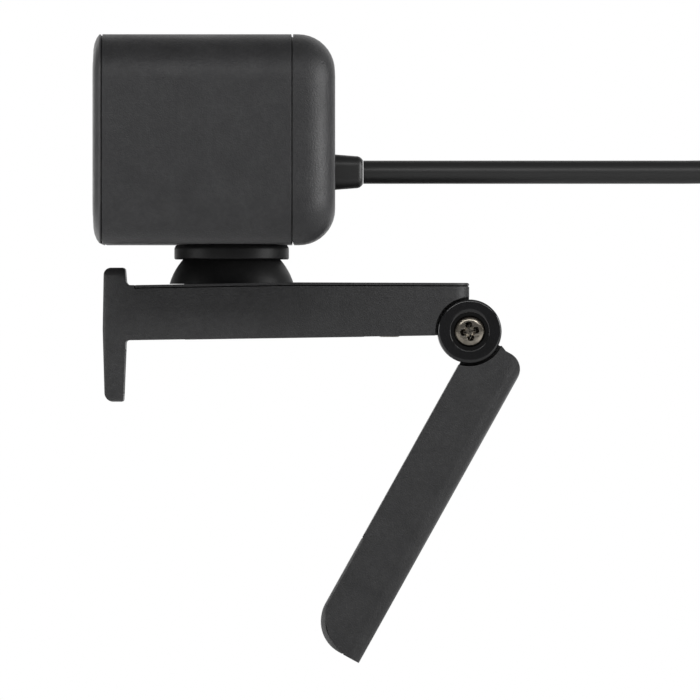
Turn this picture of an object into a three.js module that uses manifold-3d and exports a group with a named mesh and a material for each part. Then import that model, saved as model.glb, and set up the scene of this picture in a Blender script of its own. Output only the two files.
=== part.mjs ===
// A box-shaped webcam on a swivel, standing on a folding monitor clip with a tripod socket in its leg.
//
// Millimetres. X runs across the clip, Y from the lens side to the cord side and Z up. The origin is
// the middle of the rest pad's lower face, straight under the swivel's upright axis.

import * as THREE from "three";
import { mergeVertices } from "three/addons/utils/BufferGeometryUtils.js";
import Module from "manifold-3d";

const wasm = await Module();
wasm.setup();

// ------------------------------------------------------------------ driving dimensions

const GAP = 0.3; // clearance between neighbouring pieces

const HEAD = { width: 94, height: 37.5, corner: 8.1, wall: 2, bottom: 17.1, seam: 10.9, back: 18.7 };
const FRONT = { face: -24.65, window: -24.72, flange: -23.25, sleeve: -23, carrier: -21.6 };
const BACK_ROUND = 6.6; // the round over the rear cover's edge, seen from the side
const MIDDLE = HEAD.bottom + HEAD.height / 2;

const LENS = { ring: 7.3, throat: 4.3, barrel: 5, holder: 15 };
const SHUTTER = { width: 12, travel: 12.9, front: -22.65, back: -22.05, tabHeight: 9.6, tabWidth: 3.8 };
const BOARD = { width: 80, height: 27, front: -9.5, back: -8.3, postX: 33 };

const BALL = { z: 6.67, outer: 11.7, inner: 9.6, socket: 12, foot: 9.95 };
const COLLAR = { radius: 10.36, bottom: 14.36, neck: 8, neckTop: 22 };
const SPIGOT = { outer: 8.6, inner: 5.6, bottom: 6.1, hole: 8.9 };

const CLIP = { half: 14, rear: 42.98, rearCorner: 3.3, edge: 1.2, slope: 0.0155, wall: 1.8, floor: 2.4 };
const HOOK = { front: -23.2, back: -19.05, top: 12.85, foot: -11.33, corner: 2.2 };
const ARM_TOP = { frontY: -17.5, front: 9.7, crestY: 11.3, crest: 10.2, rear: 10.1 };
const LID = { rim: 0.45, seam: 0.2, underside: 7.6, screws: [-13, 28.5], boss: 2.2 };
const PAD = { front: -8.5, back: 24, half: 10, depth: 1, proud: 0.05 };

const HINGE = { y: 42.98, z: 1.36, cut: 6.2, cap: 5.76, ear: 5.3, knuckle: 5.5, hole: 1.8 };
const HINGE_X = { knuckle: 4.3, washer: 4.6, ear: 5.5, cap: 10.8, end: 14.4 };
const SCREW = { head: 2.83, shank: 1.5, seat: 12.2, crown: 14, cross: 3.06, arm: 1.15 };

const LEG = { lean: -29.14, inner: 1.24, outer: 11.66, length: 62, round: 3.36, cradle: 6.3 };
const LEG_PAD = { start: 42, thickness: 0.9, tip: 6.25, end: 8.4, proud: 0.3, tipProud: 1, half: 12.2 };
const SOCKET = { down: 43, bore: 2.5, outer: 4.4, boss: 6 };

const RELIEF = { height: 6.4, endHeight: 5.76, length: 4.1, nose: 0.95, z: 30.15 };
const CORD = { diameter: 4.3, pitch: 4.43, bend: 18, sides: 12 };
const COIL = { y: 116.5, z: -9.21, middle: 23.4, rows: 3, columns: 4 };
const PLUG = { drop: 18, boot: 9, body: 22, width: 15.6, depth: 7.6, shell: 18.75 };

// The cord's centre line from the strain relief to the coil: level, then over and down to one side.
const CORD_ROUTE = [
  [0, 24.1, 30.15],
  [0, 34, 30.15],
  [0, 46, 30.15],
  [0, 58, 30.15],
  [0, 70, 30.15],
  [0, 82, 30.15],
  [0, 91.9, 30.15],
  [0.43, 96.56, 29.72],
  [1.71, 100.9, 28.44],
  [3.73, 104.63, 26.42],
  [6.37, 107.49, 23.78],
];

const LOOKS = {
  grain: { color: 0x2c2c2e, roughness: 0.6, metalness: 0 },
  satin: { color: 0x1c1c1d, roughness: 0.45, metalness: 0 },
  gloss: { color: 0x0b0b0c, roughness: 0.12, metalness: 0 },
  rubber: { color: 0x6f6f70, roughness: 0.85, metalness: 0 },
  jacket: { color: 0x1b1b1c, roughness: 0.5, metalness: 0 },
  steel: { color: 0x9a978e, roughness: 0.32, metalness: 1 },
  brass: { color: 0xb89a52, roughness: 0.3, metalness: 1 },
  acetal: { color: 0xd8d6cf, roughness: 0.5, metalness: 0 },
  glass: { color: 0x20242c, roughness: 0.03, metalness: 0 },
  board: { color: 0x17402a, roughness: 0.55, metalness: 0 },
  chip: { color: 0x161616, roughness: 0.4, metalness: 0 },
  fabric: { color: 0x222224, roughness: 0.9, metalness: 0 },
};

// ------------------------------------------------------------------ solids from geometries

/** A closed geometry as a solid with its faces pointing out. */
function solid(geometry) {
  geometry.deleteAttribute("normal");
  geometry.deleteAttribute("uv");
  const merged = mergeVertices(geometry, 1e-4);
  const corners = merged.index.array;
  const faces = [];
  for (let i = 0; i < corners.length; i += 3) {
    const [a, b, c] = corners.slice(i, i + 3);
    if (a !== b && b !== c && c !== a) faces.push([a, b, c]);
  }
  const vertProperties = merged.attributes.position.array;
  const make = (list) =>
    new wasm.Manifold(new wasm.Mesh({ numProp: 3, vertProperties, triVerts: new Uint32Array(list.flat()) }));
  const made = make(faces);
  return made.volume() > 0 ? made : make(faces.map(([a, b, c]) => [a, c, b]));
}

/** A solid's surface as a geometry. */
function geometryOf(body) {
  const mesh = body.getMesh();
  const geometry = new THREE.BufferGeometry();
  geometry.setAttribute("position", new THREE.BufferAttribute(mesh.vertProperties, mesh.numProp));
  geometry.setIndex(new THREE.BufferAttribute(mesh.triVerts, 1));
  geometry.computeVertexNormals();
  return geometry;
}

function node(name, body, look) {
  const mesh = new THREE.Mesh(geometryOf(body), new THREE.MeshStandardMaterial(LOOKS[look]));
  mesh.name = name;
  return mesh;
}

function groupOf(...meshes) {
  const group = new THREE.Group();
  group.add(...meshes);
  return group;
}

// ------------------------------------------------------------------ primitives

const X_AXIS = new THREE.Vector3(1, 0, 0);
const Y_AXIS = new THREE.Vector3(0, 1, 0);
const Z_AXIS = new THREE.Vector3(0, 0, 1);

// How a shape drawn in its own x and y is turned, so that it is pushed along each axis.
const PUSHED = {
  x: new THREE.Matrix4().makeBasis(Y_AXIS, Z_AXIS, X_AXIS),
  y: new THREE.Matrix4().makeRotationX(Math.PI / 2),
  z: new THREE.Matrix4(),
};

/** A shape pushed along an axis. It is drawn in Y, Z for x, in X, Z for y and in X, Y for z. */
function push(points, axis, from, to) {
  const shape = new THREE.Shape(points);
  const geometry = new THREE.ExtrudeGeometry(shape, { depth: to - from, bevelEnabled: false });
  geometry.applyMatrix4(PUSHED[axis]);
  const shift = axis === "y" ? to : from;
  geometry.translate(axis === "x" ? shift : 0, axis === "y" ? shift : 0, axis === "z" ? shift : 0);
  return solid(geometry);
}

/** A profile of [radius, place along the axis] pairs, turned about an axis through a centre. */
function turn(profile, axis, centre = [0, 0, 0], steps = 32) {
  const points = profile.map(([radius, along]) => new THREE.Vector2(radius, along));
  const geometry = new THREE.LatheGeometry(points, steps);
  if (axis === "z") geometry.rotateX(Math.PI / 2);
  if (axis === "x") geometry.rotateZ(-Math.PI / 2);
  return solid(geometry.translate(...centre));
}

function disc(radius, from, to, axis, centre, steps) {
  return turn([[0, from], [radius, from], [radius, to], [0, to]], axis, centre, steps);
}

function ring(inner, outer, from, to, axis, centre, steps) {
  const profile = [[inner, from], [outer, from], [outer, to], [inner, to], [inner, from]];
  return turn(profile, axis, centre, steps);
}

function box(low, high) {
  const size = high.map((value, i) => value - low[i]);
  const middle = high.map((value, i) => (value + low[i]) / 2);
  return solid(new THREE.BoxGeometry(...size).translate(...middle));
}

/** Points along an arc in degrees, ends included. */
function arc(x, y, radius, from, to, steps) {
  return Array.from({ length: steps + 1 }, (_, i) => {
    const angle = THREE.MathUtils.degToRad(from + ((to - from) * i) / steps);
    return new THREE.Vector2(x + radius * Math.cos(angle), y + radius * Math.sin(angle));
  });
}

const line = (...pairs) => pairs.map(([x, y]) => new THREE.Vector2(x, y));

/** A rounded rectangle about a centre. */
function rounded(width, height, corner, [x, y] = [0, 0], steps = 6) {
  const [w, h] = [width / 2 - corner, height / 2 - corner];
  return [
    ...arc(x + w, y + h, corner, 0, 90, steps),
    ...arc(x - w, y + h, corner, 90, 180, steps),
    ...arc(x - w, y - h, corner, 180, 270, steps),
    ...arc(x + w, y - h, corner, 270, 360, steps),
  ];
}

/** A solid through outlines of the same number of points, one at each place along y or z. */
function loft(layers, axis) {
  const count = layers[0].points.length;
  const place = ({ x, y }, along) => (axis === "y" ? [x, along, y] : [x, y, along]);
  const positions = layers.flatMap(({ along, points }) => points.flatMap((p) => place(p, along)));
  const faces = [];
  for (let i = 1; i < count - 1; i++) {
    const top = (layers.length - 1) * count;
    faces.push(0, i + 1, i, top, top + i, top + i + 1);
  }
  for (let layer = 0; layer < layers.length - 1; layer++) {
    for (let i = 0; i < count; i++) {
      const [a, b] = [layer * count + i, layer * count + ((i + 1) % count)];
      faces.push(a, b, b + count, a, b + count, a + count);
    }
  }
  const geometry = new THREE.BufferGeometry();
  geometry.setAttribute("position", new THREE.Float32BufferAttribute(positions, 3));
  geometry.setIndex(faces);
  return solid(geometry);
}

/** A block with round corners whose outline is inset by a different amount at each station. */
function insetBlock(width, height, corner, stations, axis, centre, steps) {
  const layers = stations.map(([along, inset]) => ({
    along,
    points: rounded(width - 2 * inset, height - 2 * inset, Math.max(corner - inset, 0.4), centre, steps),
  }));
  return loft(layers, axis);
}

/** Stations of an end that is rounded over. */
function roundedOver(start, radius, inset, steps = 5) {
  return Array.from({ length: steps + 1 }, (_, i) => {
    const angle = (i / steps) * (Math.PI / 2);
    return [start + radius * Math.sin(angle), inset + radius * (1 - Math.cos(angle))];
  });
}

/** Part of a ball's profile, between two heights above its centre. */
function ballProfile(radius, from, to, steps = 6) {
  const [start, end] = [Math.asin(from / radius), Math.asin(to / radius)];
  return Array.from({ length: steps + 1 }, (_, i) => {
    const angle = start + ((end - start) * i) / steps;
    return [radius * Math.cos(angle), BALL.z + radius * Math.sin(angle)];
  });
}

// ------------------------------------------------------------------ clip arm

const undersideAt = (y) => CLIP.slope * y;

const armTop = [
  [ARM_TOP.frontY, ARM_TOP.front],
  [ARM_TOP.crestY, ARM_TOP.crest],
  [CLIP.rear - 0.4, ARM_TOP.rear],
];

const lowered = (pairs, drop) => pairs.map(([y, z]) => [y, z - drop]);

/** The arm and its hook from the side, in Y, Z, without the lid's rim. */
function armOutline() {
  const underside = undersideAt(CLIP.rear - HINGE.cut) + PAD.proud;
  const cutStart = 180 + THREE.MathUtils.radToDeg(Math.asin((HINGE.z - underside) / HINGE.cut));
  return [
    ...line([HOOK.back, undersideAt(HOOK.back) + PAD.proud]),
    ...arc(HINGE.y, HINGE.z, HINGE.cut, cutStart, 90, 10),
    ...line(...lowered(armTop, LID.rim + LID.seam).reverse()),
    ...line([ARM_TOP.frontY, ARM_TOP.front], [HOOK.back + 0.35, ARM_TOP.front + 0.05]),
    ...line([HOOK.back - 0.05, ARM_TOP.front + 0.7], [HOOK.back - 0.2, HOOK.top - 0.35]),
    ...line([HOOK.back - 0.5, HOOK.top], [HOOK.front + 1.1, HOOK.top]),
    ...line([HOOK.front + 0.2, HOOK.top - 1.2], [HOOK.front, HOOK.top - 2.3]),
    ...line([HOOK.front, 1.7], [HOOK.front + 0.23, HOOK.foot + 2.9]),
    ...line([HOOK.front + 0.45, HOOK.foot + 1.3], [HOOK.front + 1, HOOK.foot + 0.6]),
    ...line([HOOK.front + 1.45, HOOK.foot], [HOOK.back - 0.57, HOOK.foot]),
    ...line([HOOK.back - 0.43, HOOK.foot + 0.3]),
  ];
}

/** The clip from above, in X, Y, with bevelled front corners and round rear ones. */
function clipPlan(front, rear, half, edge) {
  const corner = CLIP.rearCorner;
  return [
    ...line([-half + edge, front], [half - edge, front], [half, front + edge]),
    ...arc(half - corner, rear - corner, corner, 0, 90, 6),
    ...arc(-half + corner, rear - corner, corner, 90, 180, 6),
    ...line([-half, front + edge]),
  ];
}

function hingeEar(side) {
  const [near, far] = [HINGE_X.ear, HINGE_X.cap - GAP].map((x) => x * side).sort((a, b) => a - b);
  const centre = [0, HINGE.y, HINGE.z];
  const web = box([near, HINGE.y - 7, HINGE.z - 0.7], [far, HINGE.y - 0.1, HINGE.z + 6.24]);
  return disc(HINGE.ear, near, far, "x", centre, 24).add(web);
}

function clipArm() {
  const { half, wall, floor } = CLIP;
  const channel = box([-half + wall, -15.5, floor], [half - wall, 33, HOOK.top]);
  const bottom = (y) => undersideAt(y) + PAD.proud;
  const pocketY = [PAD.front - GAP, PAD.back + GAP];
  const pocketSide = line(
    [pocketY[0], bottom(pocketY[0]) - 1],
    [pocketY[1], bottom(pocketY[1]) - 1],
    [pocketY[1], undersideAt(pocketY[1]) + PAD.depth + GAP],
    [pocketY[0], undersideAt(pocketY[0]) + PAD.depth + GAP],
  );
  let arm = push(armOutline(), "x", -half, half)
    .intersect(push(clipPlan(HOOK.front - 0.1, CLIP.rear, half, CLIP.edge), "z", -20, 20))
    .intersect(
      push(
        rounded(2 * half, HOOK.top - HOOK.foot, HOOK.corner, [0, (HOOK.top + HOOK.foot) / 2], 4),
        "y",
        -30,
        50,
      ),
    )
    .subtract(channel)
    .subtract(push(pocketSide, "x", -PAD.half - GAP, PAD.half + GAP))
    .subtract(lipPadSeat())
    .add(hingeEar(1))
    .add(hingeEar(-1))
    .subtract(disc(HINGE.hole, -half, half, "x", [0, HINGE.y, HINGE.z], 16));
  for (const y of LID.screws) {
    arm = arm.subtract(disc(1.5, -1, 4, "z", [0, y, 0], 14)).subtract(disc(2.5, -1, 1.4, "z", [0, y, 0], 20));
  }
  return node("clip_arm", arm, "grain");
}

const LIP_PAD = { half: 10, low: -9.6, high: -2.2, depth: 0.9 };

function lipPadSeat() {
  const { half, low, high, depth } = LIP_PAD;
  const inner = HOOK.back - depth - 0.5;
  return box([-half - GAP, inner, low - GAP], [half + GAP, HOOK.back + 1, high + GAP]);
}

function lipPad() {
  const { half, low, high } = LIP_PAD;
  const inner = HOOK.back - LIP_PAD.depth - 0.2;
  const side = line([inner, low], [HOOK.back - 0.42, low], [HOOK.back - 0.12, high], [inner, high]);
  return node("lip_pad", push(side, "x", -half, half), "rubber");
}

function restPad() {
  const [y0, y1] = [PAD.front, PAD.back];
  const side = line(
    [y0, undersideAt(y0)],
    [y1, undersideAt(y1)],
    [y1, undersideAt(y1) + PAD.depth],
    [y0, undersideAt(y0) + PAD.depth],
  );
  return node("rest_pad", push(side, "x", -PAD.half, PAD.half), "rubber");
}

function armTopCover() {
  const { half, wall } = CLIP;
  const rimSide = [...lowered(armTop, LID.rim), ...[...armTop].reverse()];
  rimSide[0] = [ARM_TOP.frontY + LID.seam, rimSide[0][1]];
  rimSide[5] = [ARM_TOP.frontY + LID.seam, rimSide[5][1]];
  const rim = push(line(...rimSide), "x", -half, half).intersect(
    push(clipPlan(HOOK.front, CLIP.rear - 0.3, half, 0.1), "z", 0, 20),
  );
  const traySide = line(
    [-15.2, LID.underside],
    [32.7, LID.underside],
    [32.7, ARM_TOP.crest - 0.3],
    [ARM_TOP.crestY, ARM_TOP.crest - 0.2],
    [-15.2, ARM_TOP.front - 0.2],
  );
  const tray = push(traySide, "x", -half + wall + GAP, half - wall - GAP);
  let lid = rim.add(tray);
  for (const y of LID.screws) lid = lid.add(disc(LID.boss, CLIP.floor + GAP, 8, "z", [0, y, 0], 20));
  for (const y of LID.screws) lid = lid.subtract(disc(1.05, 2, 7, "z", [0, y, 0], 12));
  lid = lid
    .subtract(disc(BALL.outer - 0.1, BALL.foot - GAP, 12, "z", [0, 0, 0], 40))
    .subtract(disc(SPIGOT.hole, 5, 12, "z", [0, 0, 0], 40));
  return node("arm_top_cover", lid, "grain");
}

/** A small screw along Z with its head below, standing in the lid's boss. */
function lidScrew(y, name) {
  const shape = [[0, 0.35], [1.6, 0.35], [2.1, 0.6], [2.1, 1.05], [0.75, 1.05], [0.75, 6.4], [0, 6.7]];
  let screw = turn(shape, "z", [0, y, 0], 16);
  for (const [x, width] of [[0.8, 0.36], [0.36, 0.8]]) {
    screw = screw.subtract(box([-x, y - width, 0], [x, y + width, 0.7]));
  }
  return node(name, screw, "steel");
}

// ------------------------------------------------------------------ hinge

const HINGE_CENTRE = [0, HINGE.y, HINGE.z];

/** A cap that closes one end of the hinge, with a seat for the screw's head or the nut. */
function hingeCap(side, name) {
  const { cap, end } = HINGE_X;
  const rim = 0.4;
  const seat = side > 0 ? 3.45 : 3.4;
  const profile = [
    [HINGE.hole, cap],
    [HINGE.cap, cap],
    [HINGE.cap, end - rim],
    [HINGE.cap - rim, end],
    [seat, end],
    [seat, SCREW.seat - GAP],
    [HINGE.hole, SCREW.seat - GAP],
    [HINGE.hole, cap],
  ];
  const mirrored = profile.map(([radius, along]) => [radius, along * side]);
  return node(name, turn(mirrored, "x", HINGE_CENTRE, 40), "gloss");
}

function hingeScrew() {
  const { head, shank, seat, crown, cross, arm } = SCREW;
  const profile = [
    [0, -crown + 0.2],
    [shank, -crown + 0.2],
    [shank, seat],
    [head, seat],
    [head, crown - 0.6],
    [head - 0.35, crown - 0.2],
    [head - 1, crown],
    [0, crown],
  ];
  const [y, z] = [HINGE.y, HINGE.z];
  const depth = crown - 1.3;
  const screw = turn(profile, "x", HINGE_CENTRE, 24)
    .subtract(box([depth, y - cross / 2, z - arm / 2], [crown + 1, y + cross / 2, z + arm / 2]))
    .subtract(box([depth, y - arm / 2, z - cross / 2], [crown + 1, y + arm / 2, z + cross / 2]));
  return node("hinge_screw", screw, "steel");
}

function hingeNut() {
  const across = 5.5 / Math.sqrt(3);
  const hexagon = ring(HINGE.hole, across, -13.9, -12.2, "x", HINGE_CENTRE, 6);
  return node("hinge_nut", hexagon, "steel");
}

function hingeWasher(side, name) {
  const [near, far] = [HINGE_X.washer * side, (HINGE_X.ear - GAP) * side];
  return node(name, ring(HINGE.hole, 4.6, near, far, "x", HINGE_CENTRE, 24), "acetal");
}

function clip() {
  return groupOf(
    clipArm(),
    armTopCover(),
    restPad(),
    lipPad(),
    ...LID.screws.map((y, i) => lidScrew(y, `cover_screw_${i + 1}`)),
    hingeCap(1, "hinge_cap_right"),
    hingeCap(-1, "hinge_cap_left"),
    hingeScrew(),
    hingeNut(),
    hingeWasher(1, "hinge_washer_right"),
    hingeWasher(-1, "hinge_washer_left"),
    node("pan_friction_washer", ring(SPIGOT.hole + 0.1, 10.5, 6.1, 7.3, "z", [0, 0, 0], 32), "acetal"),
  );
}

// ------------------------------------------------------------------ leg, hanging straight down from the hinge

/** The leg's side outline in Y, Z, which leaves the pad a little proud all along and more at the tip. */
function legOutline() {
  const { inner, outer, length, round, cradle } = LEG;
  const { start, tip, end, proud, tipProud } = LEG_PAD;
  const cradleStart = THREE.MathUtils.radToDeg(-Math.acos(inner / cradle));
  const tipRound = arc(0, 0, 1, 270, 180, 8).map(
    ({ x, y }) => [inner + tip + x * (tip - proud), -length + tip + y * (tip - tipProud)],
  );
  return [
    ...arc(0, 0, cradle, cradleStart, 5, 8),
    ...arc(outer - round, -round + 0.1, round, 100, 0, 6),
    ...line([outer, -length + 0.4], [outer - 0.4, -length]),
    ...line([end, -length], [end, -length + tipProud], ...tipRound),
    ...line([inner + proud, -start], [inner, -start + 0.01]),
  ];
}

/** The room between the leg's side walls that the pad lies in. */
function padChannel() {
  const { inner, length } = LEG;
  const { start, thickness, tip, end, half } = LEG_PAD;
  const seat = thickness + GAP;
  const side = [
    ...line([inner - 1, -start], [inner + seat, -start]),
    ...arc(inner + tip, -length + tip, tip - seat, 180, 270, 8),
    ...line([end, -length + seat], [end, -length - 1], [inner - 1, -length - 1]),
  ];
  return push(side, "x", -half, half);
}

function legShell() {
  const { inner, outer, length, round } = LEG;
  const half = CLIP.half;
  const plan = [
    ...line([-half, inner - 0.1], [half, inner - 0.1]),
    ...arc(half - round, outer - round, round, 0, 90, 6),
    ...arc(-half + round, outer - round, round, 90, 180, 6),
  ];
  const socket = [0, 0, -SOCKET.down];
  const shell = push(legOutline(), "x", -half, half)
    .intersect(push(plan, "z", -length - 1, 2))
    .subtract(padChannel())
    .subtract(box([-half + 2, 0, -57], [half - 2, outer - 1.8, -10]))
    .add(disc(SOCKET.boss, 4.6, outer - 1, "y", socket, 28))
    .subtract(disc(SOCKET.outer + GAP, 5, outer + 1, "y", socket, 28))
    .add(disc(HINGE.knuckle, -HINGE_X.knuckle, HINGE_X.knuckle, "x", [0, 0, 0], 24))
    .add(box([-HINGE_X.knuckle, inner + 0.05, -8], [HINGE_X.knuckle, 6.4, 0.4]))
    .subtract(disc(2.9, -half, half, "x", [0, 0, 0], 20));
  return node("leg_shell", shell, "grain");
}

/** The plate that closes the leg's hollow, stepped back under the pad. */
function legInnerPlate() {
  const { inner } = LEG;
  const step = -LEG_PAD.start + 0.8;
  const padBack = inner + LEG_PAD.thickness + GAP;
  const side = line(
    [inner, -10.3],
    [inner, step],
    [padBack, step],
    [padBack, -56.7],
    [padBack + 0.9, -56.7],
    [padBack + 0.9, step + 1.5],
    [inner + 1.6, step + 2.4],
    [inner + 1.6, -10.3],
  );
  return node("leg_inner_plate", push(side, "x", -CLIP.half + 2.3, CLIP.half - 2.3), "satin");
}

/** The band of rubber down the inner face and round the tip. */
function legPad() {
  const { inner, length } = LEG;
  const { start, thickness, tip, end } = LEG_PAD;
  const [tipY, tipZ] = [inner + tip, -length + tip];
  const side = [
    ...line([inner, -start - 0.3]),
    ...arc(tipY, tipZ, tip, 180, 270, 8),
    ...line([end - GAP, -length], [end - GAP, -length + thickness]),
    ...arc(tipY, tipZ, tip - thickness, 270, 180, 8),
    ...line([inner + thickness, -start - 0.3]),
  ];
  const half = LEG_PAD.half - GAP;
  return node("leg_pad", push(side, "x", -half, half), "rubber");
}

function leg() {
  const group = groupOf(
    legShell(),
    legInnerPlate(),
    legPad(),
    node(
      "tripod_insert",
      ring(SOCKET.bore, SOCKET.outer, 5.3, LEG.outer - 0.1, "y", [0, 0, -SOCKET.down], 28),
      "brass",
    ),
    node("hinge_bushing", ring(HINGE.hole, 2.6, -4.2, 4.2, "x", [0, 0, 0], 20), "steel"),
  );
  group.position.set(0, HINGE.y, HINGE.z);
  group.rotation.x = THREE.MathUtils.degToRad(LEG.lean);
  return group;
}

// ------------------------------------------------------------------ swivel

/** The hollow ball that pans on the arm, with the slot that its tilt bolt nods in. */
function swivelDome() {
  const above = BALL.foot - BALL.z;
  const floor = above + 1.3;
  const profile = [
    [SPIGOT.inner, SPIGOT.bottom],
    [SPIGOT.outer, SPIGOT.bottom],
    [SPIGOT.outer, BALL.foot],
    ...ballProfile(BALL.outer, above, BALL.outer - 0.02, 7),
    [0, BALL.z + BALL.outer],
    [0, BALL.z + BALL.inner],
    ...ballProfile(BALL.inner, floor, BALL.inner - 0.02, 6).reverse(),
    [SPIGOT.inner, BALL.z + floor],
    [SPIGOT.inner, SPIGOT.bottom],
  ];
  let dome = turn(profile, "z", [0, 0, 0], 36).subtract(box([-2, -5.6, 13], [2, 5.6, 20]));
  for (const centre of retainerScrewPlaces()) dome = dome.subtract(disc(1.05, 5, 9.6, "z", centre, 10));
  return node("swivel_dome", dome, "satin");
}

function retainerScrewPlaces() {
  return [90, 210, 330].map((degrees) => {
    const angle = THREE.MathUtils.degToRad(degrees);
    return [7.1 * Math.cos(angle), 7.1 * Math.sin(angle), 0];
  });
}

function panRetainer() {
  let plate = disc(10.5, 4.8, 5.8, "z", [0, 0, 0], 36);
  for (const centre of retainerScrewPlaces()) plate = plate.subtract(disc(1.1, 4, 7, "z", centre, 10));
  return node("pan_retainer", plate, "steel");
}

function swivel() {
  const screw = [[0, 3.5], [1.7, 3.5], [1.7, 4.5], [0.75, 4.5], [0.75, 9.2], [0, 9.2]];
  return groupOf(
    swivelDome(),
    panRetainer(),
    ...retainerScrewPlaces().map((centre, i) =>
      node(`pan_screw_${i + 1}`, turn(screw, "z", centre, 12), "steel"),
    ),
  );
}

// ------------------------------------------------------------------ tilt joint, carried by the head

function swivelCollar() {
  const { radius, bottom, neck, neckTop } = COLLAR;
  const shoulder = HEAD.bottom - GAP;
  const profile = [
    [0, BALL.z + BALL.socket],
    ...ballProfile(BALL.socket, bottom - BALL.z, BALL.socket - 0.02, 7).reverse(),
    [radius - 0.3, bottom],
    [radius, bottom + 0.3],
    [radius, shoulder - 0.9],
    [radius - 0.4, shoulder],
    [neck, shoulder],
    [neck, neckTop],
    [0, neckTop],
  ];
  const collar = turn(profile, "z", [0, 0, 0], 36).subtract(disc(1.8, 10, 30, "z", [0, 0, 0], 14));
  return node("swivel_collar", collar, "satin");
}

function collarRingNut() {
  const low = HEAD.bottom + HEAD.wall + GAP;
  return node("collar_ring_nut", ring(COLLAR.neck + GAP, 10.6, low, low + 2, "z", [0, 0, 0], 32), "satin");
}

function tiltBolt() {
  const seat = COLLAR.neckTop + GAP;
  const profile = [[0, 8.4], [1.4, 8.4], [1.4, seat], [3, seat], [3, seat + 1.8], [2.4, seat + 2.4], [0, seat + 2.4]];
  return node("tilt_bolt", turn(profile, "z", [0, 0, 0], 16), "steel");
}

function pressureWasher() {
  const outer = BALL.inner - GAP;
  const top = Math.sqrt(outer ** 2 - 1.7 ** 2);
  const edge = Math.sqrt(outer ** 2 - 5.4 ** 2);
  const profile = [
    [1.7, BALL.z + edge - 1.2],
    [5.4, BALL.z + edge - 1.2],
    ...ballProfile(outer, edge, top, 5),
    [1.7, BALL.z + edge - 1.2],
  ];
  return node("pressure_washer", turn(profile, "z", [0, 0, 0], 24), "acetal");
}

/** A coned spring washer on the tilt bolt. */
function discSpring(z, name) {
  const profile = [[1.7, z + 0.3], [3.6, z], [3.6, z + 0.35], [1.7, z + 0.65], [1.7, z + 0.3]];
  return node(name, turn(profile, "z", [0, 0, 0], 20), "steel");
}

function tiltNut() {
  return node("tilt_nut", ring(1.7, 5.5 / Math.sqrt(3), 9, 11.4, "z", [0, 0, 0], 6), "steel");
}

function tiltJoint() {
  return groupOf(
    swivelCollar(),
    collarRingNut(),
    tiltBolt(),
    pressureWasher(),
    discSpring(11.75, "disc_spring_1"),
    discSpring(12.4, "disc_spring_2"),
    tiltNut(),
  );
}

// ------------------------------------------------------------------ head housing

/** A solid with the head's outline, inset by a different amount at each place along Y. */
const headBlock = (stations, steps) =>
  insetBlock(HEAD.width, HEAD.height, HEAD.corner, stations, "y", [0, MIDDLE], steps);

function housingSleeve() {
  const sleeve = headBlock([[FRONT.sleeve, 0], [HEAD.seam, 0]])
    .subtract(headBlock([[FRONT.sleeve - 1, HEAD.wall], [HEAD.seam + 1, HEAD.wall]]))
    .subtract(disc(COLLAR.neck + GAP, HEAD.bottom - 1, HEAD.bottom + HEAD.wall + 1, "z", [0, 0, 0], 32));
  return node("housing_sleeve", sleeve, "grain");
}

function rearCover() {
  const start = HEAD.back - BACK_ROUND;
  const edge = HEAD.seam + GAP;
  const outside = headBlock([[edge, 0], ...roundedOver(start, BACK_ROUND, 0)]);
  const hollow = headBlock([
    [edge - 4, HEAD.wall + 1.6],
    [edge + 1.6, HEAD.wall + 1.6],
    [edge + 1.61, HEAD.wall],
    ...roundedOver(start + 0.02, BACK_ROUND - HEAD.wall, HEAD.wall),
  ]);
  const nutRoom = disc(11, HEAD.bottom, HEAD.bottom + 6, "z", [0, 0, 0], 32);
  const tongue = headBlock([[edge - 3, HEAD.wall + GAP], [edge + 0.5, HEAD.wall + GAP]]).subtract(nutRoom);
  const hole = RELIEF.height + 2 * GAP;
  const outlet = push(rounded(hole, hole, 2.4, [0, RELIEF.z], 4), "y", HEAD.back - 5, HEAD.back + 1);
  return node("rear_cover", outside.add(tongue).subtract(hollow).subtract(outlet), "grain");
}

function frontBezel() {
  const flange = headBlock([
    [FRONT.face, 4],
    [FRONT.face + 0.1, 2.6],
    [FRONT.face + 0.45, 1.15],
    [FRONT.flange - 0.2, 0],
    [FRONT.flange, 0],
  ]);
  const tongue = headBlock([[FRONT.flange - 0.1, HEAD.wall + GAP], [-19, HEAD.wall + GAP]]);
  const opening = headBlock([[FRONT.face - 1, 4.3], [-22.7, 4.3]]);
  const hollow = headBlock([[-22.8, 5.6], [-21.9, 5.6], [-21.89, 4], [-18, 4]]);
  return node("front_bezel", flange.add(tongue).subtract(opening).subtract(hollow), "satin");
}

const LED_X = -16;
const MICROPHONE_X = 26;

function frontWindow() {
  const slot = { half: (SHUTTER.travel + SHUTTER.tabWidth) / 2 + 0.4, z: MIDDLE + SHUTTER.tabHeight };
  const through = [FRONT.window - 1, -22];
  let pane = headBlock([[FRONT.window, 4.9], [FRONT.window + 0.3, 4.6], [-23, 4.6]])
    .subtract(disc(LENS.ring + GAP, ...through, "y", [0, 0, MIDDLE], 32))
    .subtract(box([-slot.half, through[0], slot.z - 1.35], [slot.half, through[1], slot.z + 1.35]))
    .subtract(disc(1.3, ...through, "y", [LED_X, 0, MIDDLE], 12));
  for (const x of [-MICROPHONE_X, MICROPHONE_X]) {
    pane = pane.subtract(disc(0.7, ...through, "y", [x, 0, MIDDLE], 10));
  }
  return node("front_window", pane, "gloss");
}

function lensRing() {
  const { ring: outer, throat } = LENS;
  const profile = [
    [throat, -23.1],
    [outer, -23.1],
    [outer, -24.45],
    [outer - 0.25, -24.65],
    [outer - 0.8, -24.65],
    [throat, -23.5],
    [throat, -23.1],
  ];
  return node("lens_ring", turn(profile, "y", [0, 0, MIDDLE], 36), "steel");
}

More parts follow.
